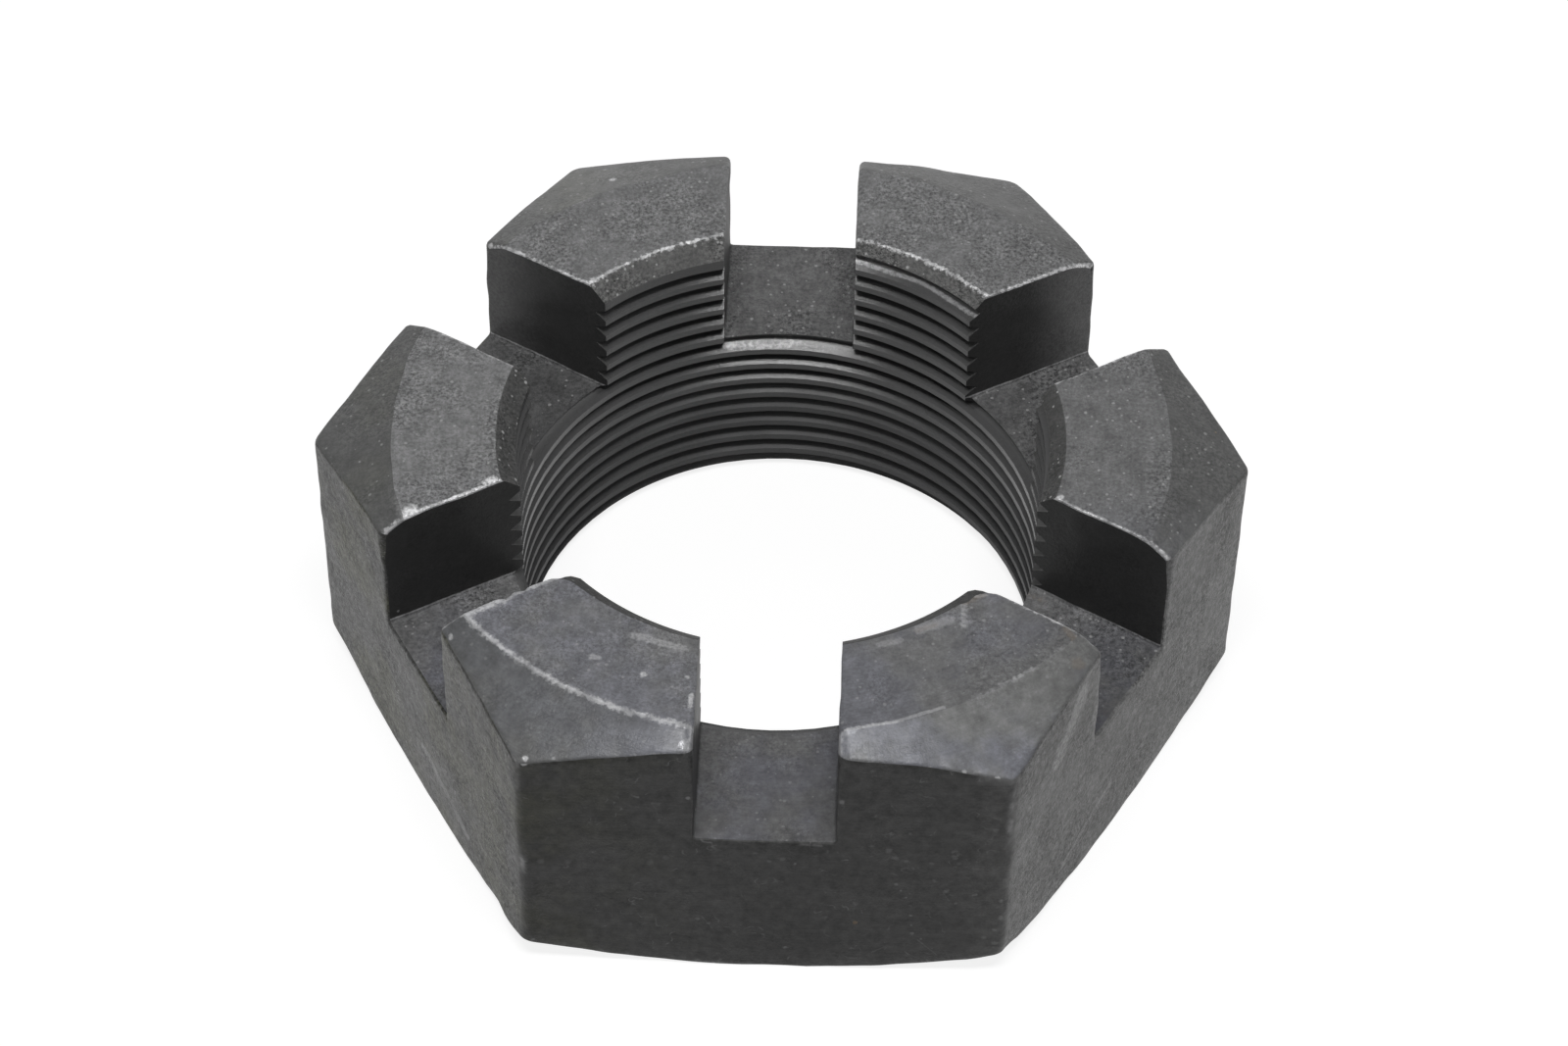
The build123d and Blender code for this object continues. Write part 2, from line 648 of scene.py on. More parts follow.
    def crown_rows(self, columns: Columns) -> tuple:
        """Profile of the crown on each cut, from the foot in the bore over the top to the foot outside.

        Args:
            columns: the cuts across one crown.

        Returns:
            tuple: distances along the cuts, heights, and the row numbers of the rim and of the outer edge.
        """
        s = self.sizes
        foot = self.foot(columns)
        drop = rounding(columns.gap, s.edge_round_inner)
        rim = s.height - drop
        mouth = s.crown_mouth - drop * math.tan(s.mouth_lean)
        levels = self.bore_levels(columns, foot, rim - s.rim_round * math.cos(s.mouth_lean))
        bore = [(columns.along(self.bore_radius(columns, level)), level) for level in levels]
        start = (columns.along(mouth - s.rim_round * math.sin(s.mouth_lean)), levels[-1])
        end = (columns.along(mouth + s.rim_round), rim)
        rim_bend = bend(start, (columns.along(mouth), rim), end)

        reach = self.outline(columns)
        wander = self.circle_wander(columns)
        tuck = self.crown_tuck
        corner_drop = rounding(columns.gap, self.outer_round(columns))
        outer = columns.radius(reach - corner_drop)
        near = s.crown_circle + wander + np.array(self.circle_rows)[:, None]
        inside = spread(mouth + s.rim_round, near[0] - self.inside_gap, self.top_rows)
        outside = spread(near[-1] + self.outside_gap, outer - tuck, self.cone_rows)
        radii = np.concatenate((inside, near, outside))
        tops = self.crown_height(radii, wander) - rounding(columns.gap, self.top_edge_round(columns, radii))
        top = [(columns.along(radius), height) for radius, height in zip(radii, tops)]
        edge = self.crown_height(outer, wander) - corner_drop
        fall = rounding(columns.gap, self.mouth_edge_round(columns, edge - tuck))
        edge_bend = bend(top[-1], (reach - corner_drop, edge), (reach - fall, edge - tuck))

        share = (levels - foot) / (levels[-1] - foot)
        heights = foot + (edge - tuck - foot) * share[::-1]
        falls = rounding(columns.gap, self.mouth_edge_round(columns, heights))
        side = list(zip(reach - falls, heights))
        along, height = profile(bore + rim_bend + top + edge_bend + side)
        return along, height, len(bore) + 1, len(bore) + len(rim_bend) + len(top) + 1

    def circle_wander(self, columns: Columns) -> np.ndarray:
        """How far the edge between top and chamfer strays from its circle: a sum of sines of the angle."""
        angle = columns.turn + np.arcsin(columns.offset / self.sizes.crown_circle)
        return sum(size * np.sin(count * angle + start) for count, size, start in self.circle_waves)

    def crown_grid(self, slot: int) -> tuple:
        """The surface of one crown, from the bore over the top to the flats.

        Args:
            slot: the number of the slot before the crown.

        Returns:
            tuple: the grid, and the row numbers of the rim and of the outer edge.
        """
        columns = self.crown_columns(slot)
        along, height, rim, edge = self.crown_rows(columns)
        grid = columns.place(along, height)
        middle = len(columns) // 2
        radius = columns.radius(along)[:, middle]
        finishes = []
        for row in range(len(grid) - 1):
            if row < rim:
                sunk = height[row, middle] > self.sizes.sink_foot - self.foot_tolerance
                finishes.append(Finish.COUNTERSINK if sunk else Finish.THREAD)
            elif row < edge:
                finishes.append(Finish.CROWN if radius[row] < self.sizes.crown_circle else Finish.CHAMFER)
            else:
                finishes.append(Finish.FLAT)
        return Grid(grid, finishes), rim, edge

    def floor_grid(self, slot: int, shares: np.ndarray) -> Grid:
        """A slot's floor, from the thread it cuts through to the flat.

        Args:
            slot: the slot's number.
            shares: how far along the floor each row lies, from 0 at the bore to 1 at the flat.

        Returns:
            Grid: the floor, with its fillets.
        """
        s = self.sizes
        columns = self.slot_columns(slot)
        height = self.floor_height(columns)
        start = columns.along(self.bore_radius(columns, height))
        end = s.half_flats - s.edge_round_inner
        along = start + shares[:, None] * (end - start)
        return Grid.plain(columns.place(along, height), Finish.SLOT_FLOOR)

    def wall_grid(self, crown: np.ndarray, floor: np.ndarray, rim: int, edge: int) -> Grid:
        """A slot wall, stretched between the crown's border and the floor's.

        Each point is the sum of the left-right and the bottom-top blends of the four borders, less the
        blend of the four corners.

        Args:
            crown: the crown's border column, from the foot in the bore over the top to the foot outside.
            floor: the floor's border column, from the bore to the flat.
            rim: the row of the crown's border at the bore's rim.
            edge: the row of the crown's border at its outer edge.

        Returns:
            Grid: the wall.
        """
        left, top, right = crown[: rim + 1], crown[rim : edge + 1], crown[edge:][::-1]
        v = np.linspace(0, 1, len(left))[:, None, None]
        u = shares_along(top)[None, :, None]
        sides = (1 - u) * left[:, None] + u * right[:, None]
        ends = (1 - v) * floor[None] + v * top[None]
        corners = (1 - u) * ((1 - v) * floor[0] + v * top[0]) + u * ((1 - v) * floor[-1] + v * top[-1])
        return Grid.plain(sides + ends - corners, Finish.SLOT_WALL)

    def ring_grid(self) -> Grid:
        """Everything under the slots: the flats' lower part, the bearing side and the bore up to the slots.

        Returns:
            Grid: rows from the slot's floor outside, down and under, to the slot's floor in the bore.
        """
        s = self.sizes
        columns = self.ring_columns()
        top = np.where(columns.slot, self.floor_height(columns), self.foot(columns))
        reach = self.outline(columns)
        outer = columns.radius(reach)
        tuck = self.bearing_tuck
        corner = self.bearing_height(outer)
        levels = [top - step for step in self.edge_steps(s.edge_round_inner)]
        levels += list(spread(levels[-1], corner + tuck, self.side_rows + 1)[1:])
        side = [(reach - self.mouth_rounding(columns, level), level) for level in levels]

        inner = np.minimum(s.bearing_circle, outer - 2 * tuck)
        cone = spread(outer - tuck, inner, self.cone_rows)
        face = spread(inner, s.bearing_mouth + s.rim_round, self.face_rows)[1:]
        cone_rows = [(columns.along(radius), self.bearing_height(radius)) for radius in cone]
        side_bend = bend(side[-1], (reach, corner), cone_rows[0])
        face_rows = [(columns.along(radius), self.bearing_height(radius)) for radius in face]
        lean = s.rim_round / math.sqrt(2)
        zero = np.zeros(len(columns))
        mouth_end = (columns.along(np.full(len(columns), s.bearing_mouth - lean)), zero + lean)
        mouth_bend = bend(face_rows[-1], (columns.along(zero + s.bearing_mouth), zero), mouth_end)
        rises = self.bore_levels(columns, zero + lean, top)
        bore = [(columns.along(self.bore_radius(columns, level)), level) for level in rises]

        along, height = profile(side + side_bend + cone_rows + face_rows + mouth_bend + bore)
        bands = (
            (Finish.FLAT, len(side) + 1),
            (Finish.CHAMFER, len(cone_rows) + 1),
            (Finish.BEARING, len(face_rows) + 2),
            (Finish.THREAD, len(bore) + 1),
        )
        finishes = [finish for finish, count in bands for _ in range(count)]
        return Grid(columns.place(along, height), finishes)

    def mouth_rounding(self, columns: Columns, height: np.ndarray) -> np.ndarray:
        """Depth that the round edge of a slot's mouth takes off the flat.

        The distance from the slot is measured down from its floor, out from its wall, or away from the
        fillet's centre between them.

        Args:
            columns: the cuts.
            height: one height for each cut.

        Returns:
            np.ndarray: depth on each cut, nothing on cuts that fan out.
        """
        s = self.sizes
        side = np.abs(columns.offset) - (s.slot_half - s.floor_fillet)
        under = self.foot(columns) - height
        fillet = np.hypot(np.maximum(side, 0), np.maximum(under, 0)) - s.floor_fillet
        near = columns.slot | (columns.gap < s.edge_round)
        return np.where(near, rounding(np.maximum(fillet, 0), s.edge_round_inner), 0)

    def grids(self) -> list:
        """Every grid of the nut.

        Returns:
            list: the ring under the slots, then each crown, slot floor and pair of slot walls.
        """
        found = [self.ring_grid()]
        crowns = [self.crown_grid(slot) for slot in range(self.sizes.flats)]
        for slot, (crown, rim, edge) in enumerate(crowns):
            found.append(crown)
            before = crowns[slot - 1][0].points[:, -1]
            floor = self.floor_grid(slot, shares_along(crown.points[rim : edge + 1, 0]))
            found.append(floor)
            found.append(self.wall_grid(crown.points[:, 0], floor.points[:, -1], rim, edge))
            found.append(self.wall_grid(before, floor.points[:, 0], *crowns[slot - 1][1:]))
        return found


@dataclass(frozen=True)
class Value:
    """A number, colour or vector that a node puts out. Arithmetic with it adds Math nodes."""

    nodes: "Nodes"
    socket: bpy.types.NodeSocket

    def __add__(self, other: object) -> "Value":
        """This plus the other."""
        return self.nodes.math("ADD", self, other)

    def __radd__(self, other: object) -> "Value":
        """The other plus this."""
        return self.nodes.math("ADD", other, self)

    def __sub__(self, other: object) -> "Value":
        """This less the other."""
        return self.nodes.math("SUBTRACT", self, other)

    def __rsub__(self, other: object) -> "Value":
        """The other less this."""
        return self.nodes.math("SUBTRACT", other, self)

    def __mul__(self, other: object) -> "Value":
        """This times the other."""
        return self.nodes.math("MULTIPLY", self, other)

    def __truediv__(self, other: object) -> "Value":
        """This over the other."""
        return self.nodes.math("DIVIDE", self, other)

    def __rtruediv__(self, other: object) -> "Value":
        """The other over this."""
        return self.nodes.math("DIVIDE", other, self)

    def __abs__(self) -> "Value":
        """This without its sign."""
        return self.nodes.math("ABSOLUTE", self)


class Nodes:
    """Adds and joins the nodes of one material, world or shader group."""

    socket_kinds = {"VALUE": "Float", "VECTOR": "Vector", "RGBA": "Color"}

    def __init__(self, tree: bpy.types.NodeTree, patterns: "NutPatterns | None" = None) -> None:
        """Start on a node tree.

        Args:
            tree: the tree.
            patterns: the shader groups that it may use.
        """
        self.tree = tree
        self.patterns = patterns

    @classmethod
    def of_material(cls, name: str, patterns: "NutPatterns | None" = None) -> tuple:
        """Make a material with no nodes yet.

        Args:
            name: the material's name.
            patterns: the shader groups that it may use.

        Returns:
            tuple: the material, and its nodes.
        """
        material = bpy.data.materials.new(name)
        material.use_nodes = True
        material.node_tree.nodes.clear()
        return material, cls(material.node_tree, patterns)

    @classmethod
    def of_group(cls, name: str, inputs: dict) -> tuple:
        """Start a shader group.

        Args:
            name: the group's name.
            inputs: the first value of each named input: a number, a vector of three or a colour of four.

        Returns:
            tuple: its nodes, and its inputs' values by name.
        """
        tree = bpy.data.node_groups.new(name, "ShaderNodeTree")
        for label, value in inputs.items():
            kind = {3: "Vector", 4: "Color"}[len(value)] if isinstance(value, tuple) else "Float"
            socket = tree.interface.new_socket(label, in_out="INPUT", socket_type=f"NodeSocket{kind}")
            socket.default_value = value
        nodes = cls(tree)
        return nodes, nodes.values("NodeGroupInput")

    def finished_group(self, results: dict) -> bpy.types.NodeTree:
        """Give the group its outputs.

        Args:
            results: the value of each named output.

        Returns:
            bpy.types.NodeTree: the group.
        """
        for label, value in results.items():
            kind = self.socket_kinds[value.socket.type]
            self.tree.interface.new_socket(label, in_out="OUTPUT", socket_type=f"NodeSocket{kind}")
        self.add("NodeGroupOutput", results)
        return self.tree

    def add(self, kind: str, inputs: dict | None = None, **settings) -> bpy.types.Node:
        """Add a node.

        Args:
            kind: the node's type.
            inputs: a plain value or another node's for each named or numbered input.
            **settings: the node's properties.

        Returns:
            bpy.types.Node: the node.
        """
        node = self.tree.nodes.new(kind)
        for label, value in settings.items():
            setattr(node, label, value)
        for label, value in (inputs or {}).items():
            self.join(value, node.inputs[label])
        return node

    def values(self, kind: str, inputs: dict | None = None, **settings) -> dict:
        """Add a node and give what it puts out, by name."""
        node = self.add(kind, inputs, **settings)
        return {socket.name: Value(self, socket) for socket in node.outputs}

    def join(self, value: object, socket: bpy.types.NodeSocket) -> None:
        """Feed a plain value or another node's into a socket.

        Args:
            value: a number, a colour or a vector, or another node's Value.
            socket: the input socket.
        """
        if isinstance(value, Value):
            self.tree.links.new(value.socket, socket)
        else:
            socket.default_value = value

    def pattern(self, name: str, inputs: dict | None = None) -> dict:
        """Add one of the nut's shader groups and give what it puts out, by name."""
        return self.values("ShaderNodeGroup", inputs, node_tree=self.patterns.get(name))

    def math(self, operation: str, *values: object, clamp: bool = False) -> Value:
        """Add a Math node on up to three numbers and give its result."""
        node = self.add("ShaderNodeMath", dict(enumerate(values)), operation=operation, use_clamp=clamp)
        return Value(self, node.outputs[0])

    def highest(self, first: object, others: list) -> object:
        """Give the highest of a value and others, or the value itself where there are none.

        Args:
            first: a number or a Value.
            others: the Values that it is compared with.

        Returns:
            object: the highest of them, as a Value, or first itself.
        """
        for other in others:
            first = self.math("MAXIMUM", first, other)
        return first

    def vector(self, operation: str, *values: object) -> Value:
        """Add a Vector Math node and give its result, a number for DISTANCE and DOT_PRODUCT."""
        node = self.add("ShaderNodeVectorMath", dict(enumerate(values)), operation=operation)
        return Value(self, node.outputs["Value" if operation in ("DISTANCE", "DOT_PRODUCT") else "Vector"])

    def combine(self, x: object, y: object, z: object) -> Value:
        """Make a vector of three numbers."""
        return self.values("ShaderNodeCombineXYZ", {"X": x, "Y": y, "Z": z})["Vector"]

    def range(
        self, value: object, low: object, high: object, start: object = 0.0, end: object = 1.0,
    ) -> Value:
        """Carry a value smoothly from one range to another, held at both ends.

        Args:
            value: the value.
            low: value that gives start.
            high: value that gives end.
            start: result at low.
            end: result at high.

        Returns:
            Value: the result.
        """
        inputs = {"Value": value, "From Min": low, "From Max": high, "To Min": start, "To Max": end}
        node = self.add("ShaderNodeMapRange", inputs, interpolation_type="SMOOTHSTEP")
        return Value(self, node.outputs["Result"])

    def mix(self, share: object, first: object, second: object, blend: str = "MIX") -> Value:
        """Mix two colours.

        Args:
            share: how much of the second colour there is.
            first: the first colour.
            second: the second colour.
            blend: how they are mixed.

        Returns:
            Value: the mixed colour.
        """
        inputs = {0: share, 6: first, 7: second}
        return Value(self, self.add("ShaderNodeMix", inputs, data_type="RGBA", blend_type=blend).outputs[2])

    def noise(self, place: Value, scale: object, detail: float = 2.0, roughness: float = 0.5) -> Value:
        """Noise from 0 to 1 over a place in millimetres, with its scale in features per millimetre."""
        inputs = {"Vector": place, "Scale": scale, "Detail": detail, "Roughness": roughness}
        return self.values("ShaderNodeTexNoise", inputs)["Fac"]

    def shader(self, inputs: dict) -> None:
        """Add the material's shader, with its named inputs, and its output."""
        surface = self.values("ShaderNodeBsdfPrincipled", inputs)["BSDF"]
        self.add("ShaderNodeOutputMaterial", {"Surface": surface})

    def seen(self) -> Value:
        """Give 1 for light that goes to the eye, straight or by a mirror or glass, else 0."""
        path = self.values("ShaderNodeLightPath")
        return self.highest(path["Is Camera Ray"], [path["Is Glossy Ray"], path["Is Transmission Ray"]])


@dataclass
class NutPatterns:
    """Shader groups that the finishes share. Each is built once, the first time that a finish asks for it."""

    sizes: NutSizes
    made: dict = field(default_factory=dict)

    def get(self, name: str) -> bpy.types.NodeTree:
        """Give a group by the name of the method that builds it.

        Args:
            name: the method's name.

        Returns:
            bpy.types.NodeTree: the group, built on the first call.
        """
        if name not in self.made:
            self.made[name] = getattr(self, name)()
        return self.made[name]

    def nut_place(self) -> bpy.types.NodeTree:
        """Where a point lies on the nut, in millimetres.

        Place is the point itself. Ring runs round the axis, outwards and up, and Flat runs along the
        nearest flat, up and outwards; both start anew in every sector. The distances are how far the point
        is from the crown's circle, the lip between chamfer and flat, the nearest slot, the bore's rim,
        the nearest corner, the lower edge and the top of a side slot's floor fillet.

        Returns:
            bpy.types.NodeTree: the group.
        """
        s = self.sizes
        ring_radius, crown_shift, flat_shift = 30.0, 40.0, 90.0
        nodes, _ = Nodes.of_group("nut_place", {})
        metres = nodes.values("ShaderNodeTexCoord")["Object"]
        place = nodes.vector("MULTIPLY", metres, (1 / MM, 1 / MM, 1 / MM))
        x, y, height = nodes.values("ShaderNodeSeparateXYZ", {0: place}).values()
        radius = nodes.math("SQRT", x * x + y * y)
        angle = nodes.math("ARCTAN2", y, x)
        half = s.sector / 2
        crown_turn = nodes.math("WRAP", angle, half, -half)
        flat_turn = nodes.math("WRAP", angle + half, half, -half)
        across = radius * nodes.math("SINE", flat_turn)
        outward = radius * nodes.math("COSINE", flat_turn)
        past_circle = radius - s.crown_circle
        drop = nodes.math("MAXIMUM", past_circle, 0.0) * math.tan(math.radians(s.crown_slope))
        rise = nodes.math("MAXIMUM", radius - s.bearing_circle, 0.0) * math.tan(math.radians(s.bearing_slope))
        beside = abs(across) - s.slot_half
        round_axis = crown_turn * ring_radius + (angle - crown_turn) * crown_shift
        along_flat = (angle - flat_turn) * flat_shift + across
        return nodes.finished_group({
            "Place": place,
            "Ring": nodes.combine(round_axis, radius, height),
            "Flat": nodes.combine(along_flat, height, outward),
            "Radius": radius,
            "Circle": abs(past_circle),
            "Lip": nodes.math("MAXIMUM", s.half_flats - outward, s.height - drop - height),
            "Slot": nodes.math("MAXIMUM", beside, s.slot_floor - height),
            "Rim": abs(radius - s.crown_mouth),
            "Corner": s.half_flats * math.tan(half) - abs(across),
            "Foot": height - rise,
            "Step": abs(height - (s.side_floor + s.floor_fillet)),
        })

    def edge_wear(self) -> bpy.types.NodeTree:
        """Where an edge is rubbed bright: within a width of it that noise makes ragged and breaks up.

        Returns:
            bpy.types.NodeTree: the group.
        """
        nodes, given = Nodes.of_group("edge_wear", {
            "Place": ORIGIN, "Distance": 0.0, "Width": 0.3, "Ragged": 0.5, "Broken": 0.5,
        })
        place = given["Place"]
        rough = (nodes.noise(place, 2.2, 3.0, 0.6) - 0.5) * given["Ragged"]
        near = nodes.range(given["Distance"] + rough, 0.0, given["Width"], 1.0, 0.0)
        near = near * nodes.range(nodes.noise(place, 0.7, 2.0), 0.35, 0.6, 0.55, 1.0)
        low = given["Broken"] * 0.4 + 0.2
        kept = nodes.range(nodes.noise(place, 0.16, 3.0, 0.6), low, low + 0.16)
        return nodes.finished_group({"Mask": near * kept})

    def forge_grain(self) -> bpy.types.NodeTree:
        """Pebbled skin of forged and shot-cleaned steel, rough in some patches and smooth in others.

        Height has pebbles of about Size across with finer grain on them, and pits sunk into it. Tone is
        light on top of the grain and dark between, Pits says where the pits are, and Cloud is a slow change
        from place to place. Calm takes that share of the grain away.

        Returns:
            bpy.types.NodeTree: the group.
        """
        nodes, given = Nodes.of_group("forge_grain", {
            "Place": ORIGIN, "Size": 0.5, "Fine": 0.4, "Pitting": 0.3, "Calm": 0.0,
        })
        place = given["Place"]
        scale = 1.0 / given["Size"]
        pebbles = nodes.range(nodes.noise(place, scale, 2.0, 0.5), 0.28, 0.72)
        finer = nodes.vector("ADD", place, FINE_SHIFT)
        fine = nodes.range(nodes.noise(finer, scale * 2.3, 2.0, 0.55), 0.3, 0.7)
        cells = nodes.values("ShaderNodeTexVoronoi", {"Vector": place, "Scale": scale * 0.42})
        chosen = nodes.values("ShaderNodeSeparateColor", {0: cells["Color"]})["Red"]
        size = nodes.range(chosen, 1.0 - given["Pitting"], 1.0) * 0.34
        pits = nodes.range(cells["Distance"], 0.0, size + 0.001, 1.0, 0.0)
        pits = pits * nodes.math("GREATER_THAN", size, 0.01)
        patch = nodes.range(nodes.noise(finer, 0.16, 2.0), 0.42, 0.62, 0.4, 0.95) * (1.0 - given["Calm"])
        tone = (fine * given["Fine"] + pebbles) / (given["Fine"] + 1.0) - 0.5
        tone = tone * patch + 0.5
        pits = pits * patch
        cloud = nodes.noise(place, 0.09, 3.0, 0.55)
        return nodes.finished_group({"Height": tone - pits * 0.7, "Tone": tone, "Pits": pits, "Cloud": cloud})

    def oxide_tint(self) -> bpy.types.NodeTree:
        """Tints over the black oxide in slow patches: olive towards the left, and cooler towards the front,
        partly the oxide's own bluish patches and partly a painted bluish reflection of the lamp above.

        Mottle is finer light and dark blotches over the tints.

        Returns:
            bpy.types.NodeTree: the group.
        """
        nodes, given = Nodes.of_group("oxide_tint", {
            "Place": ORIGIN, "Base": (0.15, 0.15, 0.15, 1), "Cool": 0.5, "Warm": 0.5, "Mottle": 0.2,
            "Blotch Scale": 0.7,
        })
        place = given["Place"]
        slow = nodes.range(nodes.noise(place, 0.11, 4.0, 0.6), 0.4, 0.62)
        front = nodes.range(nodes.vector("DOT_PRODUCT", place, FRONT), 4.0, 20.0)
        left = nodes.range(nodes.vector("DOT_PRODUCT", place, LEFT_CROWN), 4.0, 26.0)
        # the cooler tint towards the front is partly a painted bluish reflection of the lamp above
        colour = nodes.mix(slow * front * given["Cool"], given["Base"], (0.95, 0.97, 1.16, 1), "MULTIPLY")
        colour = nodes.mix(slow * left * given["Warm"], colour, (1.02, 1.03, 0.76, 1), "MULTIPLY")
        blotch = nodes.noise(place, given["Blotch Scale"], 4.0, 0.65)
        shade = (blotch - 0.5) * (given["Mottle"] * 4.0) + 1.0
        colour = nodes.mix(1.0, colour, nodes.combine(shade, shade, shade), "MULTIPLY")
        return nodes.finished_group({"Color": colour})

    def mark(self) -> bpy.types.NodeTree:
        """One spot round a centre, or one line from it along a run, with an outline that Rough makes ragged.

        The distance is to the nearest point of the line: the centre plus the run times a share held between
        0 and 1. Share Factor is 1 over the run's length squared, or 0 for a spot.

        Returns:
            bpy.types.NodeTree: the group.
        """
        nodes, given = Nodes.of_group("mark", {
            "Place": ORIGIN, "Centre": ORIGIN, "Run": ORIGIN, "Share Factor": 0.0, "Reach": 1.0, "Rough": 0.0,
        })
        apart = nodes.vector("SUBTRACT", given["Place"], given["Centre"])
        share = nodes.vector("DOT_PRODUCT", apart, given["Run"])
        share = nodes.math("MULTIPLY", share, given["Share Factor"], clamp=True)
        away = nodes.vector("DISTANCE", apart, nodes.vector("MULTIPLY", given["Run"], share))
        away = given["Rough"] * (given["Reach"] * 1.3) + away
        near = nodes.range(away, given["Reach"] * 0.4, given["Reach"], 1.0, 0.0)
        return nodes.finished_group({"Mask": near})

    def scratches(self) -> bpy.types.NodeTree:
        """Thin wandering scratches: where a noise passes its middle value, kept only in some patches.

        Returns:
            bpy.types.NodeTree: the group.
        """
        nodes, given = Nodes.of_group("scratches", {
            "Place": ORIGIN, "Scale": 0.35, "Width": 0.02, "Kept": 0.5,
        })
        place = given["Place"]
        line = abs(nodes.noise(place, given["Scale"], 2.0, 0.6) - 0.5)
        line = nodes.range(line, 0.0, given["Width"], 1.0, 0.0)
        patch = nodes.noise(nodes.vector("ADD", place, SCRATCH_SHIFT), 0.22, 3.0, 0.7)
        patch = nodes.range(patch, 0.75 - given["Kept"] * 0.4, 0.75)
        broken = nodes.range(nodes.noise(place, 1.6, 2.0), 0.42, 0.6)
        return nodes.finished_group({"Mask": line * patch * broken})

    def specks(self) -> bpy.types.NodeTree:
        """Scattered small spots, such as rust or bare dots: a share of noise cells, each a ragged dot.

        Returns:
            bpy.types.NodeTree: the group.
        """
        nodes, given = Nodes.of_group("specks", {"Place": ORIGIN, "Spacing": 3.0, "Share": 0.3, "Size": 0.2})
        rough = nodes.noise(given["Place"], 2.5, 2.0)
        scale = 1.0 / given["Spacing"]
        cells = nodes.values("ShaderNodeTexVoronoi", {"Vector": given["Place"], "Scale": scale})
        chosen = nodes.values("ShaderNodeSeparateColor", {0: cells["Color"]})
        kept = nodes.math("LESS_THAN", chosen["Red"], given["Share"])
        size = given["Size"] * (chosen["Green"] * 0.8 + 0.3)
        distance = cells["Distance"] * given["Spacing"] + (rough - 0.5) * size
        near = nodes.range(distance, size * 0.5, size, 1.0, 0.0)
        return nodes.finished_group({"Mask": near * kept})

    def streaks(self) -> bpy.types.NodeTree:
        """Fine lines from cutting or rubbing, along the first axis of the place that is given.

        Returns:
            bpy.types.NodeTree: the group.
        """
        nodes, given = Nodes.of_group("streaks", {"Place": ORIGIN, "Width": 0.25, "Length": 6.0})
        thin = 1.0 / given["Width"]
        scale = nodes.combine(1.0 / given["Length"], thin, thin)
        height = nodes.noise(nodes.vector("MULTIPLY", given["Place"], scale), 1.0, 3.0, 0.6)
        return nodes.finished_group({"Height": height})


@dataclass(frozen=True)
class Side:
    """A stretch in plan: from start to full along a direction, or both ways along it."""

    towards: tuple = ORIGIN
    start: float = -1.0
    full: float = 0.0
    both_ways: bool = False

    def range(self, nodes: Nodes, spot: dict, outside: float, inside: float) -> Value:
        """Add the nodes of a value that is one number before the stretch and another past it."""
        along = nodes.vector("DOT_PRODUCT", spot["Place"], self.towards)
        return nodes.range(abs(along) if self.both_ways else along, self.start, self.full, outside, inside)


@dataclass(frozen=True)
class WornEdge:
    """An edge that is rubbed bright, or dark with thick scale, on one side of the nut or all round; some
    edges carry painted highlights, a painted reflection or painted shade instead.
    """

    edge: str
    width: float
    ragged: float
    broken: float
    strength: float
    side: Side = Side()

    def mask(self, nodes: Nodes, spot: dict) -> Value:
        """Add the nodes of a mask that is up to the strength along the worn, dark or painted edge.

        Args:
            nodes: the material's nodes.
            spot: where a point lies on the nut.

        Returns:
            Value: the mask.
        """
        mask = nodes.pattern("edge_wear", {
            "Place": spot["Place"], "Distance": spot[self.edge], "Width": self.width,
            "Ragged": self.ragged, "Broken": self.broken,
        })["Mask"]
        return mask * self.side.range(nodes, spot, 0.0, self.strength)


@dataclass(frozen=True)
class Mark:
    """A worn, stained or painted bright spot, or a line from its place along a run, all in millimetres."""

    place: tuple
    reach: float
    strength: float
    run: tuple

    @classmethod
    def table(cls, *rows: tuple) -> tuple:
        """Make marks from rows: the place's numbers, reach, strength and, for a line, the run's numbers."""
        return tuple(cls(row[:3], row[3], row[4], row[5:] or ORIGIN) for row in rows)

    def mask(self, nodes: Nodes, place: Value, rough: Value) -> Value:
        """Add the nodes of a mask that is up to the mark's strength where it lies.

        Args:
            nodes: the material's nodes.
            place: where a point lies on the nut.
            rough: noise about 0 that makes the outline ragged.

        Returns:
            Value: the mask.
        """
        length = sum(step * step for step in self.run)
        found = nodes.pattern("mark", {
            "Place": place, "Centre": self.place, "Run": self.run,
            "Share Factor": 1 / length if length else 0.0, "Reach": self.reach, "Rough": rough,
        })["Mask"]
        return found * self.strength


@dataclass(frozen=True)
class Shade:
    """A side of the nut with painted light or painted shade: its colour is multiplied by the amount."""

    amount: float
    side: Side


